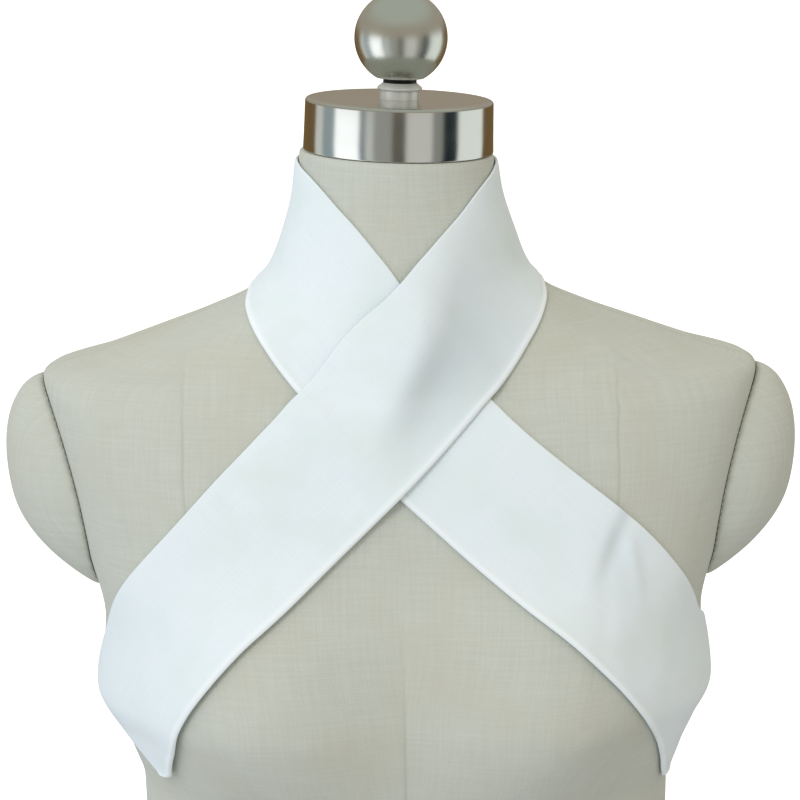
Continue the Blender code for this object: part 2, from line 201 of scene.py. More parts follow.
@dataclass
class FormShape:
    """Outside surface of the dress form, as a distance from its axis."""

    bust_height: float = 378.0
    bust_angle: float = 33.0
    bust_spread: float = 20.0
    bust_above: float = 62.0
    bust_below: float = 48.0
    bust_rise: float = 27.0
    columns: dict[str, SmoothColumn] = field(init=False)

    def __post_init__(self) -> None:
        """Join the rows of the section table."""
        heights = [row.height for row in FORM_SECTIONS]
        self.columns = {
            name: SmoothColumn(heights, [getattr(row, name) for row in FORM_SECTIONS])
            for name in ("half_width", "front", "back", "fullness")
        }

    def half_width(self, height: np.ndarray) -> np.ndarray:
        """Half of the form's width at a height."""
        return self.columns["half_width"](height)

    def radius(self, angle: np.ndarray, height: np.ndarray) -> np.ndarray:
        """Distance of the surface from the axis, at an angle in radians and a height.

        Args:
            angle: angle round the axis in radians.
            height: height in mm.

        Returns:
            The distance in mm.
        """
        depth = np.where(
            np.cos(angle) > 0, self.columns["front"](height), self.columns["back"](height)
        )
        power = self.columns["fullness"](height)
        across = (np.abs(np.sin(angle)) / self.half_width(height)) ** power
        along = (np.abs(np.cos(angle)) / depth) ** power
        turned = np.degrees(np.abs(np.arctan2(np.sin(angle), np.cos(angle))))
        sideways = (turned - self.bust_angle) / self.bust_spread
        reach = np.where(height > self.bust_height, self.bust_above, self.bust_below)
        upward = (height - self.bust_height) / reach
        bust = self.bust_rise * np.exp(-(sideways**2) - upward**2)
        return (across + along) ** (-1 / power) + bust

    def point(self, angle: np.ndarray, height: np.ndarray) -> np.ndarray:
        """Point of the surface at an angle in radians and a height."""
        radius = self.radius(angle, height)
        return np.stack([radius * np.sin(angle), -radius * np.cos(angle), height + 0 * radius], -1)

    def outside_by(self, points: np.ndarray) -> np.ndarray:
        """How far points lie outside the form, measured away from its axis."""
        angle = np.arctan2(points[..., 0], -points[..., 1])
        return np.hypot(points[..., 0], points[..., 1]) - self.radius(angle, points[..., 2])

    def slope(self, points: np.ndarray, reach: float = 0.5) -> np.ndarray:
        """Gradient of outside_by, which points straight out of the surface.

        Args:
            points: places near the surface.
            reach: half of the step in mm.

        Returns:
            One vector for each point.
        """
        steps = reach * np.eye(3)
        parts = [self.outside_by(points + s) - self.outside_by(points - s) for s in steps]
        return np.stack(parts, -1) / (2 * reach)

    def normal(self, points: np.ndarray) -> np.ndarray:
        """Unit direction out of the form."""
        return unit(self.slope(points))

    def settle(self, points: np.ndarray, height: Any) -> np.ndarray:
        """Move points along the form's normals to a height over its surface.

        Args:
            points: points near the surface.
            height: one height in mm, or one for each point.

        Returns:
            The moved points.
        """
        height = np.broadcast_to(height, points.shape[:-1])[..., None]
        for _ in range(5):
            slope = self.slope(points)
            steepness = np.linalg.norm(slope, axis=-1, keepdims=True)
            over = self.outside_by(points)[..., None] / steepness
            points = points - slope / steepness * (over - height)
        return points


# Small mesh and node tools


def grid_faces(rows: int, columns: int, wrap: bool = False) -> np.ndarray:
    """Quads of a grid whose points are numbered row by row.

    Args:
        rows: number of rows.
        columns: number of columns.
        wrap: whether the last column joins the first.

    Returns:
        Four point numbers for each quad.
    """
    across = np.arange(columns if wrap else columns - 1)
    row = np.arange(rows - 1)[:, None] * columns
    here = row + across
    right = row + (across + 1) % columns
    return np.stack([here, right, right + columns, here + columns], -1).reshape(-1, 4)


def add_piece(name: str, mesh: bpy.types.Mesh, material: bpy.types.Material) -> bpy.types.Object:
    """Wrap a finished mesh in an object with its only material.

    Args:
        name: the piece's name.
        mesh: its mesh.
        material: its material.

    Returns:
        The piece.
    """
    mesh.materials.clear()
    mesh.materials.append(material)
    piece = bpy.data.objects.new(name, mesh)
    bpy.context.scene.collection.objects.link(piece)
    return piece


def mesh_of(name: str, points: np.ndarray, faces: list[tuple[int, ...]]) -> bpy.types.Mesh:
    """Smooth-shaded mesh from points in the form's mm and its faces.

    Args:
        name: the mesh's name.
        points: places in mm round the form's axis.
        faces: point numbers of each face.

    Returns:
        The mesh, in the frame's metres.
    """
    mesh = bpy.data.meshes.new(name)
    mesh.from_pydata(to_world(points).tolist(), [], faces)
    mesh.shade_smooth()
    return mesh


def set_grain(mesh: bpy.types.Mesh, corners: np.ndarray) -> None:
    """Store the cloth's weft and warp places, in metres, as the mesh's own map.

    Args:
        mesh: the piece.
        corners: weft and warp place in mm for each face corner, in the mesh's order.
    """
    layer = mesh.uv_layers.new(name="grain")
    layer.data.foreach_set("uv", (np.asarray(corners) * MM).astype(np.float32).ravel())


def set_point_value(mesh: bpy.types.Mesh, name: str, values: np.ndarray) -> None:
    """Store one number for each point of a mesh."""
    attribute = mesh.attributes.new(name, "FLOAT", "POINT")
    attribute.data.foreach_set("value", np.asarray(values, np.float32).ravel())


def set_inputs(tree: bpy.types.NodeTree, node: bpy.types.Node, inputs: dict[Any, Any]) -> None:
    """Give a node's inputs, by name or number, a constant or an output that feeds them.

    Args:
        tree: the tree that the node is in.
        node: the node.
        inputs: a constant or an output for each input, by name or number.
    """
    for key, term in inputs.items():
        if isinstance(term, bpy.types.NodeSocket):
            tree.links.new(term, node.inputs[key])
        else:
            node.inputs[key].default_value = term


def add_node(
    tree: bpy.types.NodeTree, kind: str, inputs: dict[Any, Any] | None = None, **settings: Any
) -> bpy.types.Node:
    """Add a node.

    Args:
        tree: the tree it goes in.
        kind: its type.
        inputs: a constant or an output for each input, by name or number.
        settings: its own options, by name.

    Returns:
        The node.
    """
    node = tree.nodes.new(kind)
    for name, setting in settings.items():
        setattr(node, name, setting)
    set_inputs(tree, node, inputs or {})
    return node


def calculate(tree: bpy.types.NodeTree, operation: str, *terms: Any) -> bpy.types.NodeSocket:
    """One arithmetic step on numbers and outputs.

    Args:
        tree: the tree it goes in.
        operation: the name of the step.
        terms: numbers, or outputs of other nodes.

    Returns:
        The output that holds the result.
    """
    return add_node(tree, "ShaderNodeMath", dict(enumerate(terms)), operation=operation).outputs[0]


def mix_colour(tree: bpy.types.NodeTree, share: Any, first: Any, second: Any) -> bpy.types.NodeSocket:
    """Mix two colours, each a constant or an output, by a share that is a number or an output."""
    return add_node(tree, "ShaderNodeMix", {0: share, 6: first, 7: second}, data_type="RGBA").outputs[2]


def remap(
    tree: bpy.types.NodeTree, value: Any, given: tuple, wanted: tuple, curve: str = "LINEAR"
) -> bpy.types.NodeSocket:
    """Carry a value from a given span to a wanted one, and hold it at the ends."""
    inputs = dict(enumerate((value, *given, *wanted)))
    return add_node(tree, "ShaderNodeMapRange", inputs, interpolation_type=curve).outputs[0]


def noise(
    tree: bpy.types.NodeTree, place: Any, scale: float, detail: float = 2.0, roughness: float = 0.5
) -> bpy.types.NodeSocket:
    """Soft random pattern at a place."""
    inputs = {"Vector": place, "Scale": scale, "Detail": detail, "Roughness": roughness}
    return add_node(tree, "ShaderNodeTexNoise", inputs).outputs[0]


def bump(tree: bpy.types.NodeTree, height: Any, strength: float, relief: float) -> bpy.types.NodeSocket:
    """Raised surface, its full relief in mm."""
    inputs = {"Height": height, "Strength": strength, "Distance": relief * MM}
    return add_node(tree, "ShaderNodeBump", inputs).outputs[0]


def point_value(tree: bpy.types.NodeTree, name: str) -> bpy.types.NodeSocket:
    """Number stored on the piece's points."""
    return add_node(tree, "ShaderNodeAttribute", attribute_name=name).outputs["Fac"]


def new_material(name: str) -> tuple[bpy.types.Material, bpy.types.NodeTree, bpy.types.Node]:
    """Start a material. Returns it with its tree and its shader.

    Args:
        name: the material's name.

    Returns:
        The material, its tree and its shader.
    """
    material = bpy.data.materials.new(name)
    material.use_nodes = True
    tree = material.node_tree
    return material, tree, tree.nodes["Principled BSDF"]


# Finishes


@dataclass(frozen=True)
class WovenCloth:
    """Plain-woven cloth that follows the piece's own grain map. Sizes are mm."""

    name: str
    slot: str
    colour: str
    slub_colour: str
    stain_colour: str
    thread: float
    relief: float
    slub_width: float
    slub_length: float
    slub_share: float
    stain_size: float
    stain_share: float
    roughness: float
    sheen: float
    # painted shade colour: along seams it also stands for seam soil, and on the cotton it is painted
    # shade where the cloth turns from the light
    painted_shade_and_soil_colour: str = "#8E8F80"
    # painted highlight: the folded edge is coloured brighter than the cloth beside it, as where it
    # catches the light
    painted_edge_highlight_colour: str = "#F8FCFE"
    slub_relief: float = 1.6

    def material(self) -> bpy.types.Material:
        """Build the weave, its slubs and its uneven tone, with painted shade and a painted edge
        highlight.

        Returns:
            The cloth's material.
        """
        material, tree, shader = new_material(self.name)
        grain = add_node(tree, "ShaderNodeUVMap", uv_map="grain").outputs[0]
        place = add_node(tree, "ShaderNodeTexCoord").outputs["Object"]
        split = add_node(tree, "ShaderNodeSeparateXYZ", {0: grain}).outputs
        threads, slubs = [], []
        sizes = (1 / (self.slub_width * MM), 1 / (self.slub_length * MM))
        for axis, stretch in enumerate((sizes, sizes[::-1])):
            wave = calculate(tree, "MULTIPLY", split[axis], math.pi / (self.thread * MM))
            threads.append(calculate(tree, "ABSOLUTE", calculate(tree, "SINE", wave)))
            inputs = {0: grain, "Scale": (*stretch, 1.0), "Location": (3.7 * axis, 1.3, 0)}
            stretched = add_node(tree, "ShaderNodeMapping", inputs).outputs[0]
            slubs.append(noise(tree, stretched, 1.0, 3.0, 0.6))
        weave = calculate(tree, "MULTIPLY", *threads)
        slub = calculate(tree, "MULTIPLY", calculate(tree, "ADD", *slubs), 0.5)
        patches = noise(tree, place, 1 / (self.stain_size * MM))
        tone = srgb(self.colour)
        for share, colour in (
            (remap(tree, slub, (0.35, 0.65), (0.0, self.slub_share)), self.slub_colour),
            (remap(tree, patches, (0.48, 0.75), (0.0, self.stain_share)), self.stain_colour),
            # painted shade, with seam soil on the linen, mixed in by the stored share
            (point_value(tree, "painted_shade_and_soil"), self.painted_shade_and_soil_colour),
            # painted highlight along the collar's folded lower edge
            (point_value(tree, "edge"), self.painted_edge_highlight_colour),
        ):
            tone = mix_colour(tree, share, tone, srgb(colour))
        raised = calculate(tree, "ADD", weave, calculate(tree, "MULTIPLY", slub, self.slub_relief))
        inputs = {
            "Base Color": tone,
            "Normal": bump(tree, raised, 0.6, self.relief),
            "Roughness": self.roughness,
            "Sheen Weight": self.sheen,
            "Sheen Roughness": 0.5,
            "Specular IOR Level": 0.25,
        }
        set_inputs(tree, shader, inputs)
        return material


@dataclass(frozen=True)
class TurnedSteel:
    """Stainless steel finished on a lathe: fine rings round the piece's own axis."""

    name: str
    slot: str
    colour: str
    roughness: float
    ring_mm: float
    relief: float
    smudge: float
    metallic: float = 1.0
    # painted shade: the groove under the ball is coloured near black, as it lies in shadow
    groove_painted_shade_colour: str = "#14130F"
    smudge_scale: float = 55.0

    def material(self) -> bpy.types.Material:
        """Build the turning lines and the slight smudges of handling.

        Returns:
            The steel's material.
        """
        material, tree, shader = new_material(self.name)
        place = add_node(tree, "ShaderNodeTexCoord").outputs["Object"]
        inputs = {0: place, "Scale": (4.0, 4.0, 1 / (self.ring_mm * MM))}
        lines = noise(tree, add_node(tree, "ShaderNodeMapping", inputs).outputs[0], 1.0)
        smudges = noise(tree, place, self.smudge_scale, 3.0)
        rough = (self.roughness, self.roughness + self.smudge)
        # painted shade darkens the groove under the ball
        inputs = {
            "Base Color": mix_colour(
                tree, point_value(tree, "painted_shade_and_soil"), srgb(self.colour), srgb(self.groove_painted_shade_colour)
            ),
            "Normal": bump(tree, lines, 0.35, self.relief),
            "Roughness": remap(tree, smudges, (0.3, 0.7), rough),
            "Metallic": self.metallic,
        }
        set_inputs(tree, shader, inputs)
        return material


# unbleached linen canvas, pale grey green, with visible slubs both ways
LINEN_CANVAS = WovenCloth(
    name="linen_canvas", slot="linen", colour="#C8CBC2", slub_colour="#B8BAAE",
    stain_colour="#C0BDAC", thread=0.9, relief=0.16, slub_width=1.6, slub_length=38.0,
    slub_share=0.55, stain_size=60.0, stain_share=0.45, roughness=0.92, sheen=0.08,
)
# the thread is finer than this in real poplin, and is drawn as coarse as it needs to show
COTTON_POPLIN = WovenCloth(
    name="pressed_cotton_poplin", slot="white_cotton", colour="#E5EDF1", slub_colour="#DDE6EA",
    stain_colour="#DCE7E5", thread=0.7, relief=0.07, slub_width=1.1, slub_length=26.0,
    slub_share=0.5, stain_size=34.0, stain_share=0.7, roughness=0.85, sheen=0.05,
    # painted shade where the collar turns from the light
    painted_shade_and_soil_colour="#AFB9BA",
)
LINEN_THREAD = WovenCloth(
    name="linen_thread", slot="linen", colour="#BDBFB2", slub_colour="#B0B2A5",
    stain_colour="#BDBAA8", thread=0.4, relief=0.05, slub_width=0.4, slub_length=2.0,
    slub_share=0.6, stain_size=20.0, stain_share=0.2, roughness=0.8, sheen=0.1,
)
CAP_STEEL = TurnedSteel(
    name="brushed_stainless_steel", slot="brushed_steel", colour="#D1D0CB", roughness=0.12,
    ring_mm=0.5, relief=0.004, smudge=0.04,
)
STEM_STEEL = TurnedSteel(
    name="turned_stainless_steel", slot="brushed_steel", colour="#E4E5E1", roughness=0.32,
    ring_mm=0.4, relief=0.002, smudge=0.04, metallic=0.55,
)
BALL_STEEL = TurnedSteel(
    name="polished_stainless_steel", slot="polished_steel", colour="#D4D4CD", roughness=0.24,
    ring_mm=0.8, relief=0.003, smudge=0.05,
)


# The dress form


class SeamRow(NamedTuple):
    """Angles of the front and back shaping seams at one height, and how much each seam shows."""

    height: float
    front: float
    back: float
    front_shows: float
    centre_shows: float


SEAM_ROWS = (
    SeamRow(0, 46, 138, 0.35, 0.4),
    SeamRow(120, 46, 139, 0.35, 0.4),
    SeamRow(205, 45, 141, 0.25, 0.4),
    SeamRow(260, 44, 141, 0.1, 0.4),
    SeamRow(300, 40, 140, 0.0, 0.4),
    SeamRow(340, 36, 138, 0.0, 0.35),
    SeamRow(378, 35.5, 137, 0.0, 0.2),
    SeamRow(420, 42, 134, 0.2, 0.0),
    SeamRow(460, 49, 132, 0.3, 0.0),
    SeamRow(505, 53, 130, 0.3, 0.0),
    SeamRow(530, 55, 128.5, 0.3, 0.0),
    SeamRow(545, 57, 126.5, 0.25, 0.0),
    SeamRow(557, 59.6, 124, 0.2, 0.0),
    SeamRow(565, 62.4, 121, 0.1, 0.0),
    SeamRow(575, 67, 116, 0.0, 0.0),
    SeamRow(600, 64, 120, 0.0, 0.0),
    SeamRow(640, 58, 128, 0.0, 0.0),
    SeamRow(684, 56, 130, 0.0, 0.0),
)


@dataclass
class DressForm:
    """Linen-covered torso and its two padded arm caps."""

    shape: FormShape
    ring_step: float = 3.3
    ring_min: float = 0.8
    panel_columns: int = 20
    seam_reach: tuple[float, ...] = (0.0, 0.5, 1.1, 2.0, 3.4)
    seam_depth: float = 0.6
    seam_swell: float = 0.22
    seam_width: float = 0.75
    swell_at: float = 2.6
    swell_width: float = 1.5
    # painted shade along the seams, which also stands for seam soil: its width and its share
    seam_shade_and_soil_width: float = 0.8
    seam_shade_and_soil_share: float = 0.8
    # the neck's top leans with the steel from this height up
    tilt_from: float = 645.0
    side_shows: float = 0.5
    back_shows: float = 0.4
    # the back shaping seams fade out where they meet the shoulder seam
    shoulder_from: float = 571.0
    shoulder_to: float = 578.0
    edge_rounding: float = 1.5
    cap_height: float = 493.5
    cap_half_height: float = 62.0
    cap_half_depth: float = 52.0
    cap_rise: float = 36.5
    cap_slimming: float = 0.6
    cap_lean: float = 0.15
    cap_clearance: float = 0.4
    cap_pucker: float = 0.35
    cap_rings: int = 34
    cap_inner_rings: int = 10
    cap_columns: int = 144
    # painted shade and soil along the arm cap's seam
    cap_seam_shade_and_soil: float = 0.75
    cap_seam_spread: float = 0.05
    stitch_pitch: float = 4.2
    stitch_length: float = 2.6
    stitch_thickness: float = 0.5
    stitch_slant: float = 35.0
    stitch_unevenness: float = 0.15
    stitch_seed: int = 7

    def ring_heights(self) -> np.ndarray:
        """Heights of the rings, close together where the side slopes most.

        Returns:
            Rising heights in mm.
        """
        heights = [self.edge_rounding]
        while heights[-1] < NECK_TOP - self.edge_rounding:
            here = heights[-1]
            slope = float(self.shape.half_width(here + 1) - self.shape.half_width(here - 1)) / 2
            heights.append(here + max(self.ring_step / math.hypot(1, slope), self.ring_min))
        heights = np.array(heights)
        span = (NECK_TOP - 2 * self.edge_rounding) / (heights[-1] - heights[0])
        return self.edge_rounding + (heights - heights[0]) * span

    def seam_angles(self, heights: np.ndarray) -> np.ndarray:
        """Angles in radians of the eight seams round each ring, rising from the front.

        Args:
            heights: the rings' heights.

        Returns:
            One row for each ring.
        """
        rows = [row.height for row in SEAM_ROWS]
        front = SmoothColumn(rows, [row.front for row in SEAM_ROWS])(heights)
        back = SmoothColumn(rows, [row.back for row in SEAM_ROWS])(heights)
        still = 0 * heights
        angles = [still, front, still + 90, back, still + 180, 360 - back, still + 270, 360 - front]
        return np.radians(np.stack(angles, -1))

    def columns(self, heights: np.ndarray) -> tuple[np.ndarray, np.ndarray, np.ndarray]:
        """Place the columns of the skin, drawn together at each seam.

        Args:
            heights: the rings' heights.

        Returns:
            The angle of each column on each ring, each column's distance from its nearest
            seam in mm, and the number of that seam.
        """
        seams = self.seam_angles(heights)
        nudge = 0.01
        levels = heights[:, None] + 0 * seams
        ahead = self.shape.point(seams + nudge, levels) - self.shape.point(seams - nudge, levels)
        per_radian = np.linalg.norm(ahead, axis=-1) / (2 * nudge)
        near = np.array(self.seam_reach)
        angles, distances, owners = [], [], []
        count = seams.shape[1]
        for start in range(count):
            stop = (start + 1) % count
            full_turn = 2 * np.pi if stop == 0 else 0.0
            left = seams[:, start, None] + near / per_radian[:, start, None]
            right = seams[:, stop, None] + full_turn - near[:0:-1] / per_radian[:, stop, None]
            share = np.linspace(0, 1, self.panel_columns + 2)[1:-1]
            between = left[:, -1:] + (right[:, :1] - left[:, -1:]) * share
            angles.append(np.concatenate([left, between, right], axis=1))
            inner = np.full(self.panel_columns, 1e3)
            distances.append(np.concatenate([near, inner, near[:0:-1]]))
            owners += [start] * (len(near) + self.panel_columns // 2)
            owners += [stop] * (len(near) - 1 + self.panel_columns - self.panel_columns // 2)
        return np.concatenate(angles, axis=1), np.concatenate(distances), np.array(owners)

    def seam_strength(self, heights: np.ndarray, owners: np.ndarray) -> np.ndarray:
        """How deep each column's seam is drawn in at each height.

        Args:
            heights: the rings' heights.
            owners: the number of each column's nearest seam.

        Returns:
            A share from 0 to 1 for each ring and column.
        """
        rows = [row.height for row in SEAM_ROWS]
        front = np.interp(heights, rows, [row.front_shows for row in SEAM_ROWS])[:, None]
        centre = np.interp(heights, rows, [row.centre_shows for row in SEAM_ROWS])[:, None]
        fade = (heights - self.shoulder_from) / (self.shoulder_to - self.shoulder_from)
        back = self.back_shows * (1 - smoothstep(fade))[:, None]
        strength = np.full((len(heights), len(owners)), self.side_shows)
        strength = np.where(owners == 0, centre, strength)
        strength = np.where(np.isin(owners, (1, 7)), front, strength)
        return np.where(np.isin(owners, (3, 5)), back, strength)

    def skin(self, material: bpy.types.Material) -> bpy.types.Object:
        """Linen cover: panels drawn in at their seams, closed under the base and at the neck.

        Args:
            material: the linen.

        Returns:
            The cover.
        """
        heights = self.ring_heights()
        angles, distances, owners = self.columns(heights)
        strength = self.seam_strength(heights, owners)
        tilt = smoothstep((heights - self.tilt_from) / (NECK_TOP - 1 - self.tilt_from))[:, None]
        tilt = math.tan(math.radians(STEEL_TILT)) * tilt
        levels = heights[:, None] - tilt * self.shape.radius(angles, heights[:, None]) * np.sin(angles)
        flat = self.shape.point(angles, levels)
        groove = -self.seam_depth * np.exp(-((distances / self.seam_width) ** 2))
        swell = self.seam_swell * np.exp(-(((distances - self.swell_at) / self.swell_width) ** 2))
        draw = 1 + 0.3 * np.sin(heights / 2.9 + 0.8 * np.sin(heights / 13))[:, None]
        points = flat + self.shape.normal(flat) * ((groove + swell * draw) * strength)[..., None]
        # painted shade and seam soil, darkest on each seam
        painted_shade_and_soil = np.exp(-((distances / self.seam_shade_and_soil_width) ** 2)) * strength * self.seam_shade_and_soil_share

        turned_in = self.edge_rounding
        inwards = unit(points * [1, 1, 0])
        rims = []
        for row, side in ((0, -1), (-1, 1)):
            for degrees in ((35, 65, 90) if side > 0 else (90, 65, 35)):
                turn = math.radians(degrees)
                ring = points[row] - inwards[row] * turned_in * (1 - math.cos(turn))
                rims.append(ring + [0, 0, side * turned_in * math.sin(turn)])
        points = np.concatenate([rims[:3], points, rims[3:]])
        painted_shade_and_soil = np.concatenate([painted_shade_and_soil[:1]] * 3 + [painted_shade_and_soil] + [painted_shade_and_soil[-1:]] * 3)
        points[0, :, 2] = 0.0

        rows, columns = points.shape[:2]
        faces = grid_faces(rows, columns, wrap=True)
        base = rows * columns
        under = [(int((i + 1) % columns), i, base) for i in range(columns)]
        top = (rows - 1) * columns
        above = [(top + i, top + (i + 1) % columns, base + 1) for i in range(columns)]
        ends = np.array([points[0].mean(0), points[-1].mean(0)])
        flat_points = np.concatenate([points.reshape(-1, 3), ends])
        mesh = mesh_of("form_cover", flat_points, faces.tolist() + under + above)
        mesh.set_sharp_from_angle(angle=math.radians(60))
        set_point_value(mesh, "painted_shade_and_soil", np.concatenate([painted_shade_and_soil.ravel(), [0, 0]]))

        weft, warp = self.panel_grain(points, columns // 8)
        corners = np.stack([weft, np.broadcast_to(warp, weft.shape)], -1)
        here, there = corners[:, :, 0], corners[:, :, 1]
        quads = np.stack([here[:-1], there[:-1], there[1:], here[1:]], axis=2)
        caps = flat_points[np.array(under + above)][..., :2]
        set_grain(mesh, np.concatenate([quads.reshape(-1, 2), caps.reshape(-1, 2)]))
        return add_piece("form_cover", mesh, material)

    @staticmethod
    def panel_grain(points: np.ndarray, wide: int) -> tuple[np.ndarray, np.ndarray]:
        """Lay each panel's grain along its middle column.

        Args:
            points: the skin, rings by columns.
            wide: columns in one panel.

        Returns:
            The weft place at the two sides of each face column, and the warp place on each ring.
        """
        rows, columns = points.shape[:2]
        weft = np.zeros((rows, columns, 2))
        warp = np.zeros((rows, columns, 1))
        for first in range(0, columns, wide):
            span = np.arange(first, first + wide + 1) % columns
            panel = points[:, span]
            steps = np.linalg.norm(np.diff(panel, axis=1), axis=-1)
            places = np.concatenate([np.zeros((rows, 1)), np.cumsum(steps, axis=1)], axis=1)
            places -= places[:, wide // 2, None]
            weft[:, first : first + wide, 0] = places[:, :-1]
            weft[:, first : first + wide, 1] = places[:, 1:]
            rises = np.linalg.norm(np.diff(panel[:, wide // 2], axis=0), axis=-1)
            warp[:, first : first + wide, 0] = np.concatenate([[0], np.cumsum(rises)])[:, None]
        return weft, warp

    def cap_points(self, side: Side, tips: np.ndarray, turns: np.ndarray) -> np.ndarray:
        """Points of one arm cap, from its outward pole by tip angle and turn, in radians.

        Args:
            side: the wearer's side.
            tips: angles from the outward pole.
            turns: angles round it.

        Returns:
            One point for each pair of angles.
        """
        out, up = np.cos(tips), np.sin(tips) * np.sin(turns)
        heights = self.cap_height + self.cap_half_height * up
        depth = self.cap_half_depth * np.sin(tips) * np.cos(turns)
        foot = np.stack([side.value * self.shape.half_width(heights), depth, heights], -1)
        foot = self.shape.settle(foot, self.cap_clearance)
        slimming = 1 - self.cap_slimming * np.clip(up, None, 0) ** 2
        rise = self.cap_rise * np.clip(out, 0, None) * slimming
        outward = unit(np.array([side.value, 0.0, -self.cap_lean]))
        return foot + rise[..., None] * outward

    def arm_cap(self, side: Side, material: bpy.types.Material) -> bpy.types.Object:
        """Padded dome over one armhole, gathered a little along its seam.

        Args:
            side: the wearer's side.
            material: the linen.

        Returns:
            The arm cap.
        """
        name = f"arm_cap_cover_{side.name.lower()}"
        rim = np.linspace(0, math.pi / 2, self.cap_rings) ** 0.85 * (math.pi / 2) ** 0.15
        inner = np.linspace(0, math.pi / 2, self.cap_inner_rings)[1:]
        tips = np.concatenate([rim, math.pi / 2 + inner])
        turns = np.linspace(0, 2 * math.pi, self.cap_columns, endpoint=False)
        tips, turns = np.meshgrid(tips[1:-1], turns, indexing="ij")
        points = self.cap_points(side, tips, turns)
        near_rim = np.exp(-(((math.pi / 2 - tips) / 0.2 - 0.6) ** 2)) * (tips < math.pi / 2)
        gathers = 0.6 * np.sin(29 * turns + 0.9 * np.sin(3 * turns)) + 0.4 * np.sin(43 * turns + 1.3)
        outward = np.array([side.value, 0.0, 0.0])
        points = points + (self.cap_pucker * near_rim * gathers)[..., None] * outward
        ends = self.cap_points(side, np.array([0.0, math.pi]), np.zeros(2))

        rows, columns = tips.shape
        faces = grid_faces(rows, columns, wrap=True).tolist()
        base = rows * columns
        for i in range(columns):
            j = (i + 1) % columns
            faces.append((j, i, base))
            faces.append((base - columns + i, base - columns + j, base + 1))
        every = np.concatenate([points.reshape(-1, 3), ends])
        mesh = mesh_of(name, every, faces)
        tidy_normals(mesh)
        # painted shade and soil along the seam at the cap's rim
        from_rim = (tips - math.pi / 2) / self.cap_seam_spread
        seam = self.cap_seam_shade_and_soil * np.exp(-(from_rim**2))
        set_point_value(mesh, "painted_shade_and_soil", np.concatenate([seam.ravel(), [0, 0]]))
        corners = np.zeros(len(mesh.loops), np.int32)
        mesh.loops.foreach_get("vertex_index", corners)
        set_grain(mesh, every[corners][:, 1:])
        return add_piece(name, mesh, material)

    def seam_line(self, side: Side, steps: int = 160) -> tuple[np.ndarray, np.ndarray]:
        """Route of the hand stitches round one arm cap, and the way each stitch lies.

        Args:
            side: the wearer's side.
            steps: number of points on the route.

        Returns:
            The points, and a direction at each.
        """
        turns = np.linspace(0, 2 * math.pi, steps, endpoint=False)
        rim = self.cap_points(side, np.full(steps, math.pi / 2), turns)
        rim = self.shape.settle(rim, self.cap_clearance + 0.25)
        ahead = unit(np.roll(rim, -1, axis=0) - np.roll(rim, 1, axis=0))
        across = np.cross(ahead, self.shape.normal(rim))
        slant = math.radians(self.stitch_slant)
        return rim, ahead * math.cos(slant) + across * math.sin(slant)


def tidy_normals(mesh: bpy.types.Mesh, merge: float = 0.0) -> None:
    """Point a closed mesh's faces outwards, after merging what touches.

    Args:
        mesh: the closed mesh.
        merge: distance in metres under which points are merged, or 0.
    """
    bm = bmesh.new()
    bm.from_mesh(mesh)
    if merge:
        bmesh.ops.remove_doubles(bm, verts=bm.verts, dist=merge)
    bmesh.ops.recalc_face_normals(bm, faces=bm.faces)
    if bm.calc_volume(signed=True) < 0:
        bmesh.ops.reverse_faces(bm, faces=bm.faces)
    bm.to_mesh(mesh)
    bm.free()


# Geometry Nodes: turned pieces and hand stitches


def new_geometry_tree(name: str, inputs: dict[str, str]) -> tuple[Any, Any]:
    """Start a Geometry Nodes tree with its named inputs and one geometry output.

    Args:
        name: the tree's name.
        inputs: the kind of each input by its name, the geometry first.

    Returns:
        The tree and its inputs, by name.
    """
    tree = bpy.data.node_groups.new(name, "GeometryNodeTree")
    for label, kind in inputs.items():
        tree.interface.new_socket(label, in_out="INPUT", socket_type="NodeSocket" + kind)
    tree.interface.new_socket("Piece", in_out="OUTPUT", socket_type="NodeSocketGeometry")
    return tree, add_node(tree, "NodeGroupInput").outputs


def end_geometry_tree(tree: Any, geometry: Any, finish: Any) -> None:
    """Close a tree with Realize Instances and Set Material.

    Args:
        tree: the tree.
        geometry: the output that holds its result.
        finish: the input that holds its material.
    """
    real = add_node(tree, "GeometryNodeRealizeInstances", {0: geometry}).outputs[0]
    dressed = add_node(tree, "GeometryNodeSetMaterial", {"Geometry": real, "Material": finish})
    add_node(tree, "NodeGroupOutput", {0: dressed.outputs[0]})


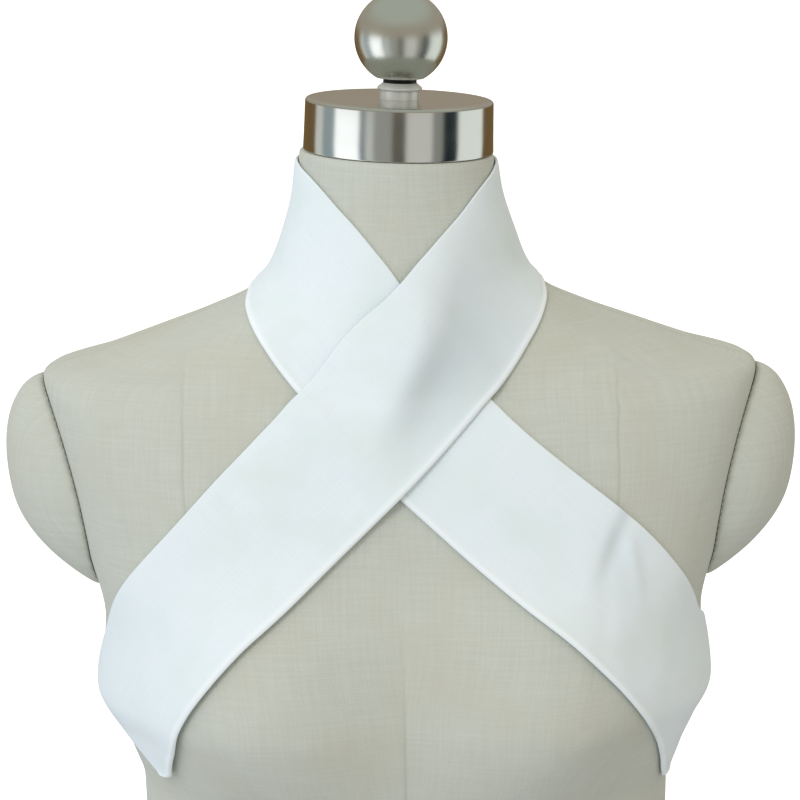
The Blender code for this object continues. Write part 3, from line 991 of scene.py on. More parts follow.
def turned_tree() -> bpy.types.NodeTree:
    """Tree that turns a profile, given as a row of points, round the Z axis.

    Returns:
        The tree.
    """
    kinds = {"Profile": "Geometry", "Segments": "Int", "Finish": "Material"}
    tree, given = new_geometry_tree("turned_piece", kinds)
    profile = given["Profile"]
    size = add_node(tree, "GeometryNodeAttributeDomainSize", {0: profile}, component="MESH")
    count = size.outputs["Point Count"]
    around = calculate(tree, "ADD", given["Segments"], 1)
    inputs = {"Size X": 1.0, "Size Y": 1.0, "Vertices X": count, "Vertices Y": around}
    sheet = add_node(tree, "GeometryNodeMeshGrid", inputs).outputs["Mesh"]
    position = add_node(tree, "GeometryNodeInputPosition").outputs[0]
    split = add_node(tree, "ShaderNodeSeparateXYZ", {0: position}).outputs
    last = calculate(tree, "SUBTRACT", count, 1)
    row = calculate(tree, "MULTIPLY", calculate(tree, "ADD", split[0], 0.5), last)
    inputs = {"Geometry": profile, "Value": position, "Index": calculate(tree, "ROUND", row)}
    sample = add_node(
        tree, "GeometryNodeSampleIndex", inputs, data_type="FLOAT_VECTOR", domain="POINT"
    )
    turn = calculate(tree, "MULTIPLY", calculate(tree, "ADD", split[1], 0.5), 2 * math.pi)
    inputs = {"Vector": sample.outputs[0], "Angle": turn}
    turned = add_node(tree, "ShaderNodeVectorRotate", inputs, rotation_type="Z_AXIS").outputs[0]
    placed = add_node(tree, "GeometryNodeSetPosition", {"Geometry": sheet, "Position": turned})
    inputs = {"Geometry": placed.outputs[0], "Distance": MERGE_DISTANCE}
    joined = add_node(tree, "GeometryNodeMergeByDistance", inputs).outputs[0]
    end_geometry_tree(tree, joined, given["Finish"])
    return tree


def stitch_tree() -> bpy.types.NodeTree:
    """Tree that lays thread stitches along a seam line, each along its own lay direction.

    Returns:
        The tree.
    """
    kinds = dict.fromkeys(("Pitch", "Length", "Thickness", "Unevenness"), "Float")
    kinds = {"Seam": "Geometry", **kinds, "Seed": "Int", "Finish": "Material"}
    tree, given = new_geometry_tree("hand_stitches", kinds)
    curve = add_node(tree, "GeometryNodeMeshToCurve", {0: given["Seam"]}).outputs[0]
    inputs = {"Curve": curve, "Length": given["Pitch"]}
    spaced = add_node(tree, "GeometryNodeResampleCurve", inputs, mode="LENGTH").outputs[0]
    inputs = {"Segments": 8, "Rings": 7, "Radius": 0.5}
    thread = add_node(tree, "GeometryNodeMeshUVSphere", inputs).outputs["Mesh"]
    lay = add_node(
        tree, "GeometryNodeInputNamedAttribute", {"Name": "lay"}, data_type="FLOAT_VECTOR"
    ).outputs["Attribute"]
    turn = add_node(tree, "FunctionNodeAlignRotationToVector", {"Vector": lay}, axis="X").outputs[0]
    thickness, uneven = given["Thickness"], given["Unevenness"]
    inputs = {0: given["Length"], 1: thickness, 2: thickness}
    sizes = add_node(tree, "ShaderNodeCombineXYZ", inputs).outputs[0]
    low, high = calculate(tree, "SUBTRACT", 1.0, uneven), calculate(tree, "ADD", 1.0, uneven)
    inputs = {2: low, 3: high, "Seed": given["Seed"]}
    jitter = add_node(tree, "FunctionNodeRandomValue", inputs, data_type="FLOAT").outputs[1]
    inputs = {0: sizes, "Scale": jitter}
    scaled = add_node(tree, "ShaderNodeVectorMath", inputs, operation="SCALE").outputs[0]
    inputs = {"Points": spaced, "Instance": thread, "Rotation": turn, "Scale": scaled}
    laid = add_node(tree, "GeometryNodeInstanceOnPoints", inputs).outputs[0]
    end_geometry_tree(tree, laid, given["Finish"])
    return tree


def run_tree(
    name: str, mesh: bpy.types.Mesh, tree: bpy.types.NodeTree, inputs: dict[str, Any]
) -> bpy.types.Object:
    """Run a Geometry Nodes tree on a mesh and keep the result as a plain piece.

    Args:
        name: the piece's name.
        mesh: the geometry that the tree starts from.
        tree: the tree.
        inputs: values of its named inputs.

    Returns:
        The finished piece, with no modifier left.
    """
    source = bpy.data.objects.new(name + "_source", mesh)
    bpy.context.scene.collection.objects.link(source)
    modifier = source.modifiers.new("Nodes", "NODES")
    modifier.node_group = tree
    for item in tree.interface.items_tree:
        if item.item_type == "SOCKET" and item.in_out == "INPUT" and item.name in inputs:
            modifier[item.identifier] = inputs[item.name]
    graph = bpy.context.evaluated_depsgraph_get()
    result = bpy.data.meshes.new_from_object(source.evaluated_get(graph))
    result.name = name
    source.modifiers.clear()
    bpy.data.objects.remove(source, do_unlink=True)
    tidy_normals(result)
    result.shade_smooth()
    return add_piece(name, result, inputs["Finish"])


# Steel neck cap and finial


def arc(
    centre: tuple[float, float], radius: float, start: float, stop: float, steps: int
) -> list[tuple[float, float]]:
    """Points of an arc in the profile plane, angles in degrees from +X towards +Z."""
    turns = [math.radians(start + (stop - start) * i / steps) for i in range(steps + 1)]
    return [(centre[0] + radius * math.cos(t), centre[1] + radius * math.sin(t)) for t in turns]


@dataclass
class SteelFinial:
    """Steel cap on the neck, and the stem, knuckle and ball above it. Sizes are mm."""

    cap_radius: float = 53.6
    cap_top_radius: float = 52.9
    cap_height: float = 29.0
    cap_rounding: float = 1.8
    stem_radius: float = 11.0
    stem_height: float = 5.0
    knuckle_radius: float = 12.6
    knuckle_height: float = 4.4
    washer_radius: float = 9.4
    washer_height: float = 2.4
    ball_radius: float = 26.1
    ball_centre: float = 34.1
    segments: int = 144

    @property
    def waist(self) -> float:
        """Height over the neck at which the dark waist starts."""
        return self.cap_height + self.stem_height + self.knuckle_height

    def cap_profile(self) -> list[tuple[float, float]]:
        """Tapered cap with softened edges and a flat top.

        Returns:
            Radius and height of each point.
        """
        foot, corner = 0.7, self.cap_rounding
        profile = [(0.0, 0.0), (self.cap_radius - foot - 2, 0.0)]
        profile += arc((self.cap_radius - foot, foot), foot, -90, 0, 4)
        profile += [(self.cap_radius - 0.25, 8.0), (self.cap_radius - 0.5, 18.0)]
        centre = (self.cap_top_radius - corner, self.cap_height - corner)
        profile += arc(centre, corner, 0, 90, 8)
        shares = (0.9, 0.75, 0.55, 0.35, 0.0)
        return profile + [(self.cap_top_radius * share, self.cap_height) for share in shares]

    def stem_profile(self) -> list[tuple[float, float]]:
        """Stem, flared knuckle and the dark waist under the ball.

        Returns:
            Radius and height of each point.
        """
        bottom = self.cap_height + 0.03
        flare, shoulder = self.cap_height + self.stem_height, self.waist
        top = shoulder + self.washer_height - GAP
        profile = [(0.0, bottom), (self.stem_radius, bottom), (self.stem_radius, flare)]
        profile += arc((self.knuckle_radius - 1.1, flare + 1.1), 1.1, -75, 30, 8)
        profile += arc((self.knuckle_radius - 3.6, shoulder - 0.5), 0.5, 30, 90, 4)
        profile += [(self.washer_radius + 0.1, shoulder), (self.washer_radius, shoulder + 0.3)]
        return profile + [(self.washer_radius, top), (0.0, top)]

    def ball_profile(self) -> list[tuple[float, float]]:
        """Ball with a small flat where it sits on the washer.

        Returns:
            Radius and height of each point.
        """
        flat = self.waist + self.washer_height
        centre = self.cap_height + self.ball_centre
        start = math.degrees(math.asin((flat - centre) / self.ball_radius))
        points = arc((0.0, centre), self.ball_radius, start, 90, 72)
        return [(0.0, flat)] + points[:-1] + [(0.0, centre + self.ball_radius)]

    def turned(
        self, name: str, profile: list[tuple[float, float]], tree: Any, material: Any
    ) -> bpy.types.Object:
        """Turn one profile and set it on the tilted neck.

        Args:
            name: the piece's name.
            profile: radius and height of each point.
            tree: the tree that turns it.
            material: its steel.

        Returns:
            The piece.
        """
        rows = bpy.data.meshes.new(name + "_profile")
        rows.from_pydata([(radius * MM, 0.0, height * MM) for radius, height in profile], [], [])
        piece = run_tree(name, rows, tree, {"Segments": self.segments, "Finish": material})
        places = np.zeros(len(piece.data.vertices) * 3, np.float32)
        piece.data.vertices.foreach_get("co", places)
        # painted shade: points of the stem's waist under the ball are marked to be coloured near black
        dark = (places.reshape(-1, 3)[:, 2] / MM > self.waist - 0.2) & (name == "steel_stem")
        seat = Vector((STEEL_SHIFT, AXIS_BACK, NECK_TOP + GAP)) * MM
        tilt = Matrix.Rotation(math.radians(STEEL_TILT), 4, "Y")
        piece.data.transform(Matrix.Translation(seat) @ tilt)
        piece.data.set_sharp_from_angle(angle=math.radians(40))
        set_point_value(piece.data, "painted_shade_and_soil", dark)
        return piece


# The collar


class RoutePoint(NamedTuple):
    """Height of each half's centreline and its width at an angle on the half's own side."""

    angle: float
    over: float
    over_width: float
    under: float
    under_width: float


BAND_ROUTE = (
    RoutePoint(180, 636, 82, 636, 82),
    RoutePoint(155, 636, 82, 636, 82),
    RoutePoint(120, 637, 80, 637, 82),
    RoutePoint(95, 637, 77, 637, 82),
    RoutePoint(76, 633, 75, 634, 82),
    RoutePoint(55, 620, 74, 621, 82),
    RoutePoint(35, 602, 76, 602, 82),
    RoutePoint(18, 581, 79, 580, 81),
    RoutePoint(0, 559, 82, 555, 80),
    RoutePoint(-12, 540, 80, 534, 74.5),
    RoutePoint(-24, 518, 79, 512, 73),
    RoutePoint(-35, 491, 78, 488, 74.5),
    RoutePoint(-45, 456, 78, 460, 77),
    RoutePoint(-54, 421, 83.5, 427.5, 77.5),
    RoutePoint(-63, 389, 90, 399, 77.5),
    RoutePoint(-72, 361, 93, 379, 87),
    RoutePoint(-80, 338, 93, 363, 92),
    RoutePoint(-92, 308, 94, 343, 93),
)


class Crease(NamedTuple):
    """A soft ridge or trough: place along and across a half, size, turn and height in mm.

    The lower side can have a width of its own, called fall.
    """

    along: float
    across: float
    length: float
    width: float
    turn: float
    rise: float
    fall: float = 0.0


UNDER_CREASES = (
    Crease(384, 6, 110, 44, -62, 2.0),
    Crease(378, 24, 46, 9, -73, -1.9),
    Crease(397, -10, 46, 12, -59, -0.9),
    Crease(389.5, 22, 40, 8, -36, 1.6),
    Crease(404, 14, 22, 8, 20, 0.4),
    Crease(181, 8, 44, 18, -42, 0.4),
    Crease(84, -14, 48, 18, 100, 1.2),
    Crease(38, 4, 54, 20, 82, 0.8),
    Crease(300, -6, 70, 30, -20, 0.5),
    Crease(446, -6, 50, 24, -60, 0.5),
)
OVER_CREASES = (
    Crease(216, 9, 96, 60, -29, 4.1, 30),
    Crease(200, 15, 40, 18, -44, 0.9, 12),
    Crease(236, -7, 46, 18, -18, 0.8, 12),
    Crease(455, -12, 60, 20, -50, 0.7),
    Crease(96, -10, 52, 18, 96, 1.2),
    Crease(30, -6, 50, 16, 78, 0.9),
    Crease(262, -12, 14, 4, -90, 0.4),
    Crease(330, 10, 90, 34, -15, 0.8),
    Crease(410, -4, 60, 22, -36, 0.6),
    Crease(150, 6, 44, 14, 70, 0.6),
)
# places where the cloth's colour is painted greyer, as painted shade where it turns from the light: the
# rise is how much, from 0 to 1
UNDER_PAINTED_SHADES = (
    Crease(376, 24, 48, 10, -73, 0.3),
    Crease(392, 12, 44, 26, -50, 0.14),
)
OVER_PAINTED_SHADES = (
    Crease(190, 1, 112, 24, -24, 0.55, 106),
    Crease(231, -7, 64, 16, -14, 0.35, 30),
)


def crease_rise(
    creases: tuple[Crease, ...], at: np.ndarray, offsets: np.ndarray
) -> np.ndarray:
    """Height that creases add up to at places along and across a half.

    Args:
        creases: the creases.
        at: places along the half in mm.
        offsets: places across it in mm.

    Returns:
        One height in mm for each place.
    """
    rise = 0 * offsets
    for crease in creases:
        turn = math.radians(crease.turn)
        right, up = at - crease.along, offsets - crease.across
        run = (right * math.cos(turn) + up * math.sin(turn)) / (crease.length / 2)
        side = up * math.cos(turn) - right * math.sin(turn)
        width = np.where(side < 0, crease.fall or crease.width, crease.width)
        rise = rise + crease.rise * np.exp(-(run**2) - (2 * side / width) ** 2)
    return rise


@dataclass
class CollarHalf:
    """One half of the collar: a doubled, pressed band with folded edges. Sizes are mm."""

    lay: Lay
    shape: FormShape
    creases: tuple[Crease, ...]
    # the half's own side of the neck, and the angle where it ends across the front
    side: int
    end_angle: float
    cut_length: float
    # how far the end cut leans, so that the upper corner reaches further than the lower one
    slant: float = 0.0
    painted_shades: tuple[Crease, ...] = ()
    slant_length: float = 90.0
    slant_reach: float = 5.0
    cut_width: float = 82.0
    wall: float = 2.0
    clearance: float = 0.6
    # the lower fold is a soft roll, but flat on the shoulder, and the upper one is pressed sharp
    lower_puff: float = 0.75
    puff_at: float = 1.9
    puff_width: float = 2.2
    press_width: float = 3.5
    shoulder_press: float = -0.7
    shoulder_from: float = 135.0
    shoulder_to: float = 190.0
    # painted highlight along the lower fold: how strong, where it peaks and how wide
    edge_painted_highlight: float = 0.5
    edge_painted_highlight_at: float = 1.6
    edge_painted_highlight_width: float = 1.8
    upper_press: float = -0.4
    lower_radius: float = 2.6
    upper_radius: float = 0.9
    end_radius: float = 1.0
    station_step: float = 1.7
    inner_columns: int = 38
    # the lower corner of the end is blunt
    corner_radius: float = 8.5
    # the lower edge stands off the form a little towards the half's end
    stand_off: float = 0.3
    stand_off_from: float = 215.0
    stand_off_over: float = 90.0
    stand_off_width: float = 16.0
    # the centreline's direction at a place is read between points this far off
    heading_reach: float = 4.5

    def route(self, extra: float = 0.0) -> tuple[np.ndarray, np.ndarray]:
        """Dense centreline on the form from the centre back, and the half-width along it.

        Args:
            extra: degrees that the line goes on past the half's end.

        Returns:
            The line's points, and half of the band's width at each.
        """
        rows = sorted(BAND_ROUTE)
        angles = [row.angle for row in rows]
        height = SmoothColumn(angles, [getattr(row, self.lay.value) for row in rows])
        width = SmoothColumn(angles, [getattr(row, self.lay.value + "_width") for row in rows])
        angle = np.linspace(rows[-1].angle, self.end_angle - extra, 1200)
        return self.shape.point(self.side * np.radians(angle), height(angle)), width(angle) / 2

    @staticmethod
    def edge_insets(radius: float) -> np.ndarray:
        """Distances in from a folded edge at which the fold's roundness is drawn.

        Args:
            radius: the fold's radius.

        Returns:
            Rising distances in mm.
        """
        turn = np.radians(np.linspace(0, 90, 7))
        rounded = radius * (1 - np.cos(turn))
        return np.concatenate([rounded, radius + np.array([0.7, 1.5, 2.6, 4.0])])

    def surface(self) -> tuple[np.ndarray, np.ndarray, np.ndarray]:
        """Points of the half on the form, stations by columns.

        Returns:
            The points, their place along the half and their offset across it in mm.
        """
        whole = np.linalg.norm(np.diff(self.route()[0], axis=0), axis=1).sum() - GAP / 2
        route, half_widths = self.route(self.slant_reach)
        lengths = np.concatenate([[0], np.cumsum(np.linalg.norm(np.diff(route, axis=0), axis=1))])
        insets = self.edge_insets(self.end_radius)[:9]
        count = int((whole - 2 * insets[-1]) / self.station_step)
        inner = np.linspace(insets[-1], whole - insets[-1], count)[1:-1]
        at = GAP / 2 + np.concatenate([insets, inner, whole - insets[::-1]])

        def read(places: np.ndarray) -> np.ndarray:
            """Points of the centreline at lengths along it."""
            return np.stack([np.interp(places, lengths, column) for column in route.T], -1)

        half_widths = np.interp(at, lengths, half_widths)[:, None]
        low, high = self.edge_insets(self.lower_radius), self.edge_insets(self.upper_radius)
        past = np.clip(1 - (whole - at) / self.corner_radius, 0, 1)[:, None]
        foot = self.corner_radius * (1 - np.sqrt(1 - 0.97 * past**2)) - half_widths
        first, last = foot + low[-1], half_widths - high[-1]
        share = np.linspace(0, 1, self.inner_columns + 2)[1:-1]
        offsets = np.concatenate(
            [foot + low, first + (last - first) * share, half_widths - high[::-1]], axis=1
        )
        eased = smoothstep((at - whole + self.slant_length) / self.slant_length)[:, None]
        slid = at[:, None] + self.slant * offsets * eased
        directions = unit(read(slid + self.heading_reach) - read(slid - self.heading_reach))
        return self.walk_across(read(slid), directions, offsets), slid, offsets

    def walk_across(
        self, places: np.ndarray, directions: np.ndarray, distance: np.ndarray, steps: int = 8
    ) -> np.ndarray:
        """Walk square to the centreline over the form; positive distances go up the neck.

        Args:
            places: points of the centreline.
            directions: its direction at each.
            distance: how far to walk from each of them.
            steps: number of steps to do it in.

        Returns:
            The points reached.
        """
        across = unit(self.side * np.cross(directions, self.shape.normal(places)))
        points = np.broadcast_to(places, distance.shape + (3,))
        for _ in range(steps):
            points = self.shape.settle(points + across * distance[..., None] / steps, 0.0)
            normals = self.shape.normal(points)
            across = unit(across - normals * (across * normals).sum(-1, keepdims=True))
        return points

    def layers(self, support: np.ndarray | float = 0.0) -> "HalfLayers":
        """Work out the underside and the top of the half.

        Args:
            support: height that what lies beneath adds, for each point of the surface.

        Returns:
            The half's grids.
        """
        surface, at, offsets = self.surface()
        lower, upper = offsets - offsets[:, :1], offsets[:, -1:] - offsets
        start, end = at - at[:1], at[-1:] - at
        past = smoothstep((at - self.shoulder_from) / (self.shoulder_to - self.shoulder_from))
        puff = self.shoulder_press + (self.lower_puff - self.shoulder_press) * past
        wall = self.wall + puff * np.exp(-(((lower - self.puff_at) / self.puff_width) ** 2))
        wall = wall + self.upper_press * np.exp(-((upper / self.press_width) ** 2))
        roundness = np.ones_like(wall)
        radii = (self.lower_radius, self.upper_radius, self.end_radius, self.end_radius)
        for inset, radius in zip((lower, upper, start, end), radii):
            part = 1 - np.clip(inset / radius, 0, 1)
            roundness = np.minimum(roundness, np.sqrt(np.clip(1 - part**2, 0, 1)))
        creases = crease_rise(self.creases, at, offsets)
        floated = self.stand_off * smoothstep((at - self.stand_off_from) / self.stand_off_over)
        floated = floated * np.exp(-((lower / self.stand_off_width) ** 2))
        rest = self.clearance + np.maximum(creases, -0.3) + floated + support
        middle = rest + wall / 2
        top = self.shape.settle(surface, middle + wall / 2 * roundness)
        bottom = self.shape.settle(surface, middle - wall / 2 * roundness)
        return HalfLayers(surface, top, bottom, rest + wall, at, offsets)

    def piece(self, layers: "HalfLayers", material: bpy.types.Material) -> bpy.types.Object:
        """Join the top and the underside into one closed cloth.

        Args:
            layers: the half's grids.
            material: the cotton.

        Returns:
            The half of the collar.
        """
        rows, columns = layers.top.shape[:2]
        number = np.arange(rows * columns).reshape(rows, columns)
        below = number.copy()
        inside = (slice(1, -1), slice(1, -1))
        below[inside] = rows * columns + np.arange((rows - 2) * (columns - 2)).reshape(
            rows - 2, columns - 2
        )
        upper = grid_faces(rows, columns)
        lower = below.ravel()[upper][:, ::-1]
        faces = np.concatenate([upper, lower])
        points = np.concatenate([layers.top.reshape(-1, 3), layers.bottom[inside].reshape(-1, 3)])
        name = f"collar_band_{self.lay.value}"
        mesh = mesh_of(name, points, faces.tolist())
        tidy_normals(mesh)
        places = np.stack([layers.offsets, layers.at], -1)
        places = np.concatenate([places.reshape(-1, 2), places[inside].reshape(-1, 2)])
        corners = np.zeros(len(mesh.loops), np.int32)
        mesh.loops.foreach_get("vertex_index", corners)
        set_grain(mesh, places[corners])
        # painted shade where the cloth turns from the light
        painted_shade_share = crease_rise(self.painted_shades, layers.at, layers.offsets)
        # painted highlight, brightest just in from the lower fold
        lower = layers.offsets - layers.offsets[:, :1]
        from_fold = (lower - self.edge_painted_highlight_at) / self.edge_painted_highlight_width
        edge = self.edge_painted_highlight * np.exp(-(from_fold**2))
        for label, values in (("painted_shade_and_soil", painted_shade_share), ("edge", edge)):
            values = np.concatenate([values.ravel(), 0 * values[inside].ravel()])
            set_point_value(mesh, label, values)
        return add_piece(name, mesh, material)


class HalfLayers(NamedTuple):
    """Grids of one half: its place on the form, its two faces and the height of its top."""

    surface: np.ndarray
    top: np.ndarray
    bottom: np.ndarray
    top_height: np.ndarray
    at: np.ndarray
    offsets: np.ndarray


def support_height(points: np.ndarray, under: HalfLayers, margin: float, ease: float) -> np.ndarray:
    """Height that the under half gives to what lies over it.

    Args:
        points: places on the form under the over half.
        under: the under half.
        margin: how far past the under half's edge the full height holds.
        ease: width over which it then falls to nothing.

    Returns:
        One height for each point, smoothed so that the cloth bridges the step.
    """
    tree = KDTree(under.surface[..., 0].size)
    heights = under.top_height.ravel()
    for i, place in enumerate(under.surface.reshape(-1, 3)):
        tree.insert(place, i)
    tree.balance()
    lift = np.zeros(points[..., 0].size)
    for i, place in enumerate(points.reshape(-1, 3)):
        _, nearest, distance = tree.find(place)
        lift[i] = heights[nearest] * float(smoothstep((margin + ease - distance) / ease))
    lift = lift.reshape(points.shape[:-1])
    for _ in range(4):
        padded = np.pad(lift, 1, mode="edge")
        around = padded[:-2, 1:-1] + padded[2:, 1:-1] + padded[1:-1, :-2] + padded[1:-1, 2:]
        lift = np.maximum(lift, (lift * 2 + around) / 6)
    return lift


@dataclass
class CrossOverCollar:
    """Both halves of the collar, the wearer's left one on top."""

    shape: FormShape
    bridge_margin: float = 2.5
    bridge_ease: float = 17.0

    def build(self, material: bpy.types.Material) -> None:
        """Lay the under half on the form, and the over half on both.

        Args:
            material: the cotton.
        """
        under = CollarHalf(
            Lay.UNDER, self.shape, UNDER_CREASES, -1, -84.5, 542.0, slant=-0.08,
            painted_shades=UNDER_PAINTED_SHADES,
        )
        over = CollarHalf(
            Lay.OVER, self.shape, OVER_CREASES, 1, -72.6, 512.0, slant=0.12, stand_off=2.2,
            painted_shades=OVER_PAINTED_SHADES,
        )
        laid = under.layers()
        support = support_height(over.surface()[0], laid, self.bridge_margin, self.bridge_ease)
        for half, layers, rests in (
            (under, laid, ["form_body"]),
            (over, over.layers(support), ["form_body", "collar_under"]),
        ):
            piece = half.piece(layers, material)
            tie(piece, f"collar_{half.lay.value}")


# Studio


class Surround(NamedTuple):
    """What the steel sees in one stretch round the room: degrees from the front, and colour."""

    start: float
    stop: float
    colour: str
    strength: float


SURROUNDS = (
    Surround(-180, -121, "#76603E", 1.0),
    Surround(-121, -105, "#E0E3E0", 1.0),
    Surround(-105, -84, "#9FB0B6", 1.0),
    Surround(-84, -49, "#F6FBFF", 1.7),
    Surround(-49, -41, "#8C969C", 1.0),
    Surround(-41, -31, "#D9DFDC", 1.0),
    Surround(-31, -8, "#A6A9A4", 1.0),
    Surround(-8, 8, "#6A675F", 1.0),
    Surround(8, 41, "#DBDCD8", 1.0),
    Surround(41, 55, "#979A95", 1.0),
    Surround(55, 76, "#222E33", 1.0),
    Surround(76, 122, "#E9F0EC", 1.2),
    Surround(122, 180, "#76603E", 1.0),
)

class Level(NamedTuple):
    """Where the room's stripes give way to one colour: degrees up, and its share at each end."""

    start: float
    stop: float
    shows: tuple[float, float]
    colour: str


LEVELS = (
    Level(-3.0, 12.0, (0.0, 1.0), "#ABA497"),
    Level(20.0, 48.0, (0.0, 1.0), "#B6BEB4"),
    Level(-62.0, -44.0, (1.0, 0.0), "#7C7868"),
)
# degrees over which each stripe fades into the next, on its own side
BAND_BLUR = 2.6


@dataclass
class Studio:
    """Camera, soft light from the wearer's right, and a pale floor. Sizes are metres."""

    camera_distance: float = 1.55
    camera_height: float = 0.8848
    camera_pitch: float = 12.676
    camera_roll: float = 0.9
    # the picture is 800 pixels wide, and one radian at its middle covers this many
    focal_pixels: float = 2767.0
    picture_pixels: float = 800.0
    sensor: float = 36.0
    ambient: float = 0.80
    # how much more of it comes from the wearer's right and from above
    ambient_right: float = 0.14
    ambient_above: float = 0.08
    key_watts: float = 13.0
    key_angle: float = -24.0
    key_rise: float = 34.0
    key_distance: float = 2.2
    key_size: float = 0.8
    target_height: float = 0.45

    def build(self) -> None:
        """Set up the camera, the world, the light and the floor."""
        self.add_camera()
        self.add_world()
        self.add_key_light()
        self.add_floor()
        bpy.context.scene.view_settings.view_transform = "Standard"

    def add_camera(self) -> None:
        """Camera in front of the form, looking a little down."""
        data = bpy.data.cameras.new("camera")
        data.sensor_width = self.sensor
        data.lens = self.sensor * self.focal_pixels / self.picture_pixels
        data.dof.use_dof = False
        camera = bpy.data.objects.new("camera", data)
        bpy.context.scene.collection.objects.link(camera)
        place = Matrix.Translation((0, AXIS_BACK * MM - self.camera_distance, self.camera_height))
        level = Matrix.Rotation(math.radians(90 - self.camera_pitch), 4, "X")
        camera.matrix_world = place @ level @ Matrix.Rotation(math.radians(-self.camera_roll), 4, "Z")
        bpy.context.scene.camera = camera

    def add_world(self) -> None:
        """Even white surround for the cloth, and a striped one that only the steel mirrors."""
        world = bpy.data.worlds.new("studio")
        bpy.context.scene.world = world
        world.use_nodes = True
        tree = world.node_tree
        tree.nodes.clear()
        way = add_node(tree, "ShaderNodeTexCoord").outputs["Generated"]
        split = add_node(tree, "ShaderNodeSeparateXYZ", {0: way}).outputs
        angle = calculate(tree, "ARCTAN2", split[0], calculate(tree, "MULTIPLY", split[1], -1.0))
        share = calculate(tree, "ADD", calculate(tree, "DIVIDE", angle, 2 * math.pi), 0.5)
        ramp = add_node(tree, "ShaderNodeValToRGB", {0: share})
        places = []
        for band in SURROUNDS:
            colour = tuple(channel * band.strength for channel in srgb(band.colour)[:3]) + (1.0,)
            places += [(band.start + BAND_BLUR, colour), (band.stop - BAND_BLUR, colour)]
        stops = ramp.color_ramp.elements
        while len(stops) < len(places):
            stops.new(0.5)
        for stop, (degrees, colour) in zip(stops, places):
            stop.position = degrees / 360 + 0.5
            stop.color = colour
        rise = calculate(tree, "DEGREES", calculate(tree, "ARCSINE", split[2]))
        mirrored = ramp.outputs[0]
        for level in LEVELS:
            shown = remap(tree, rise, (level.start, level.stop), level.shows, "SMOOTHSTEP")
            mirrored = mix_colour(tree, shown, mirrored, srgb(level.colour))
        rising = calculate(tree, "MULTIPLY_ADD", split[2], self.ambient_above, self.ambient)
        amount = calculate(tree, "MULTIPLY_ADD", split[0], -self.ambient_right, rising)
        upward = calculate(tree, "MULTIPLY_ADD", split[2], 0.4, 0.45)
        leftward = calculate(tree, "MULTIPLY_ADD", split[0], 0.5, upward)
        hue = mix_colour(tree, leftward, srgb("#F5FAFF"), srgb("#FFF9EC"))
        steel_light, cloth_light, backdrop = (
            add_node(tree, "ShaderNodeBackground", {"Color": colour, "Strength": strength}).outputs[0]
            for colour, strength in ((mirrored, 1.0), (hue, amount), (srgb("#FFFFFF"), 1.0))
        )
        path = add_node(tree, "ShaderNodeLightPath").outputs
        inputs = {0: path["Is Glossy Ray"], 1: cloth_light, 2: steel_light}
        lit = add_node(tree, "ShaderNodeMixShader", inputs).outputs[0]
        inputs = {0: path["Is Camera Ray"], 1: lit, 2: backdrop}
        seen = add_node(tree, "ShaderNodeMixShader", inputs).outputs[0]
        add_node(tree, "ShaderNodeOutputWorld", {"Surface": seen})

    def add_key_light(self) -> None:
        """Large soft light from the front left of the picture."""
        data = bpy.data.lights.new("window_light", "AREA")
        data.shape = "SQUARE"
        data.size = self.key_size
        data.energy = self.key_watts
        data.color = srgb("#F6FBFF")[:3]
        light = bpy.data.objects.new("window_light", data)
        bpy.context.scene.collection.objects.link(light)
        angle, rise = math.radians(self.key_angle), math.radians(self.key_rise)
        way = Vector(
            (math.sin(angle) * math.cos(rise), -math.cos(angle) * math.cos(rise), math.sin(rise))
        )
        light.location = Vector((0, 0, self.target_height)) + way * self.key_distance
        light.rotation_euler = way.to_track_quat("Z", "Y").to_euler()
        light.visible_glossy = False

    def add_floor(self) -> None:
        """Plain pale floor, too wide for its edge to show."""
        bm = bmesh.new()
        bmesh.ops.create_grid(bm, x_segments=8, y_segments=8, size=40.0)
        mesh = bpy.data.meshes.new("floor")
        bm.to_mesh(mesh)
        bm.free()
        material, tree, shader = new_material("pale_floor")
        place = add_node(tree, "ShaderNodeTexCoord").outputs["Object"]
        # overexposed studio paper, which the picture shows as plain white
        inputs = {
            "Base Color": mix_colour(tree, noise(tree, place, 3.0), srgb("#FFFFFF"), srgb("#FCFCFC")),
            "Roughness": 0.9,
            "Emission Color": srgb("#FFFFFF"),
            "Emission Strength": 0.5,
        }
        set_inputs(tree, shader, inputs)
        floor = add_piece("floor", mesh, material)
        floor.visible_glossy = False
        floor.visible_diffuse = False


# Assembly


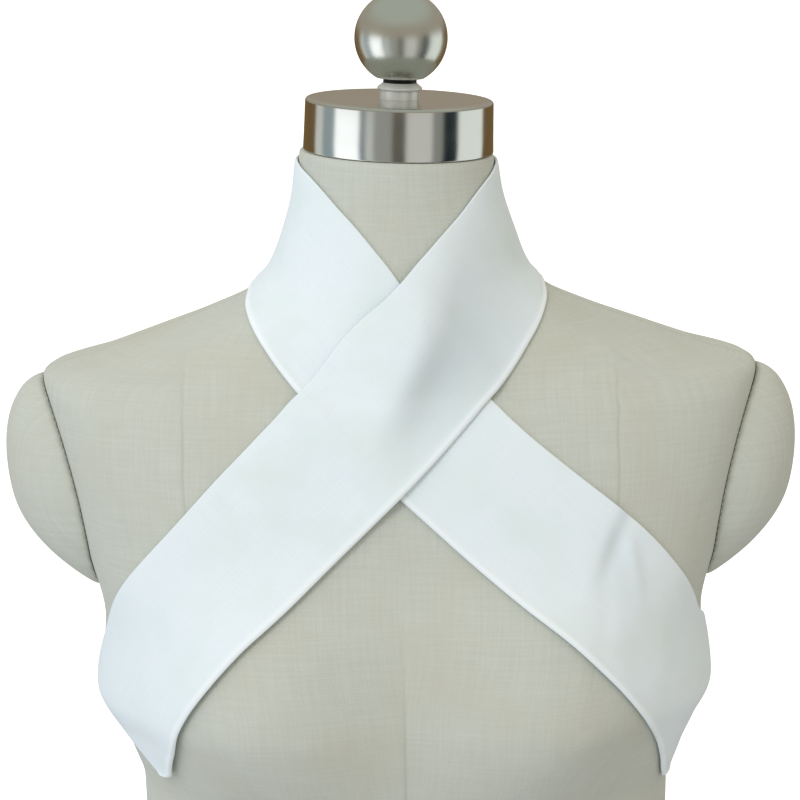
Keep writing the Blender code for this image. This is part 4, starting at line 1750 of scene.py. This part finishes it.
def tie(piece: bpy.types.Object, node: str = "") -> None:
    """Fix a piece to the form, hide the solid that it replaces, if any, and log it.

    Args:
        piece: the piece.
        node: the solid that it replaces.
    """
    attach(piece, BODY)
    if node:
        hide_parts(node)
    LOG.info("%s: %d faces", piece.name, len(piece.data.polygons))


def dress_form(form: DressForm) -> None:
    """Build the form's linen pieces and tie them to the frame.

    Args:
        form: the dress form.
    """
    linen, thread = LINEN_CANVAS.material(), LINEN_THREAD.material()
    cover = form.skin(linen)
    tie(cover, "form_body")
    tree = stitch_tree()
    for side in Side:
        word = side.name.lower()
        cap = form.arm_cap(side, linen)
        tie(cap, f"arm_cap_{word}")

        line, lay = form.seam_line(side)
        seam = bpy.data.meshes.new(f"arm_cap_seam_{word}")
        ring = [(i, (i + 1) % len(line)) for i in range(len(line))]
        seam.from_pydata(to_world(line).tolist(), ring, [])
        attribute = seam.attributes.new("lay", "FLOAT_VECTOR", "POINT")
        attribute.data.foreach_set("vector", lay.astype(np.float32).ravel())
        inputs = {
            "Pitch": form.stitch_pitch * MM,
            "Length": form.stitch_length * MM,
            "Thickness": form.stitch_thickness * MM,
            "Unevenness": form.stitch_unevenness,
            "Seed": form.stitch_seed,
            "Finish": thread,
        }
        tie(run_tree(f"arm_cap_stitches_{word}", seam, tree, inputs))


def fit_finial(finial: SteelFinial) -> None:
    """Build the steel pieces and tie them to the frame.

    Args:
        finial: the cap, stem and ball.
    """
    tree = turned_tree()
    for name, node, profile, finish in (
        ("steel_neck_cap", "neck_cap", finial.cap_profile(), CAP_STEEL),
        ("steel_stem", "finial_stem", finial.stem_profile(), STEM_STEEL),
        ("steel_ball", "finial_ball", finial.ball_profile(), BALL_STEEL),
    ):
        tie(finial.turned(name, profile, tree, finish.material()), node)


def main() -> None:
    """Build every piece in the order that a maker would."""
    logging.basicConfig(level=logging.INFO, format="%(name)s %(message)s")
    shape = FormShape()
    Studio().build()
    dress_form(DressForm(shape))
    fit_finial(SteelFinial())
    CrossOverCollar(shape).build(COTTON_POPLIN.material())


if __name__ == "__main__":
    main()
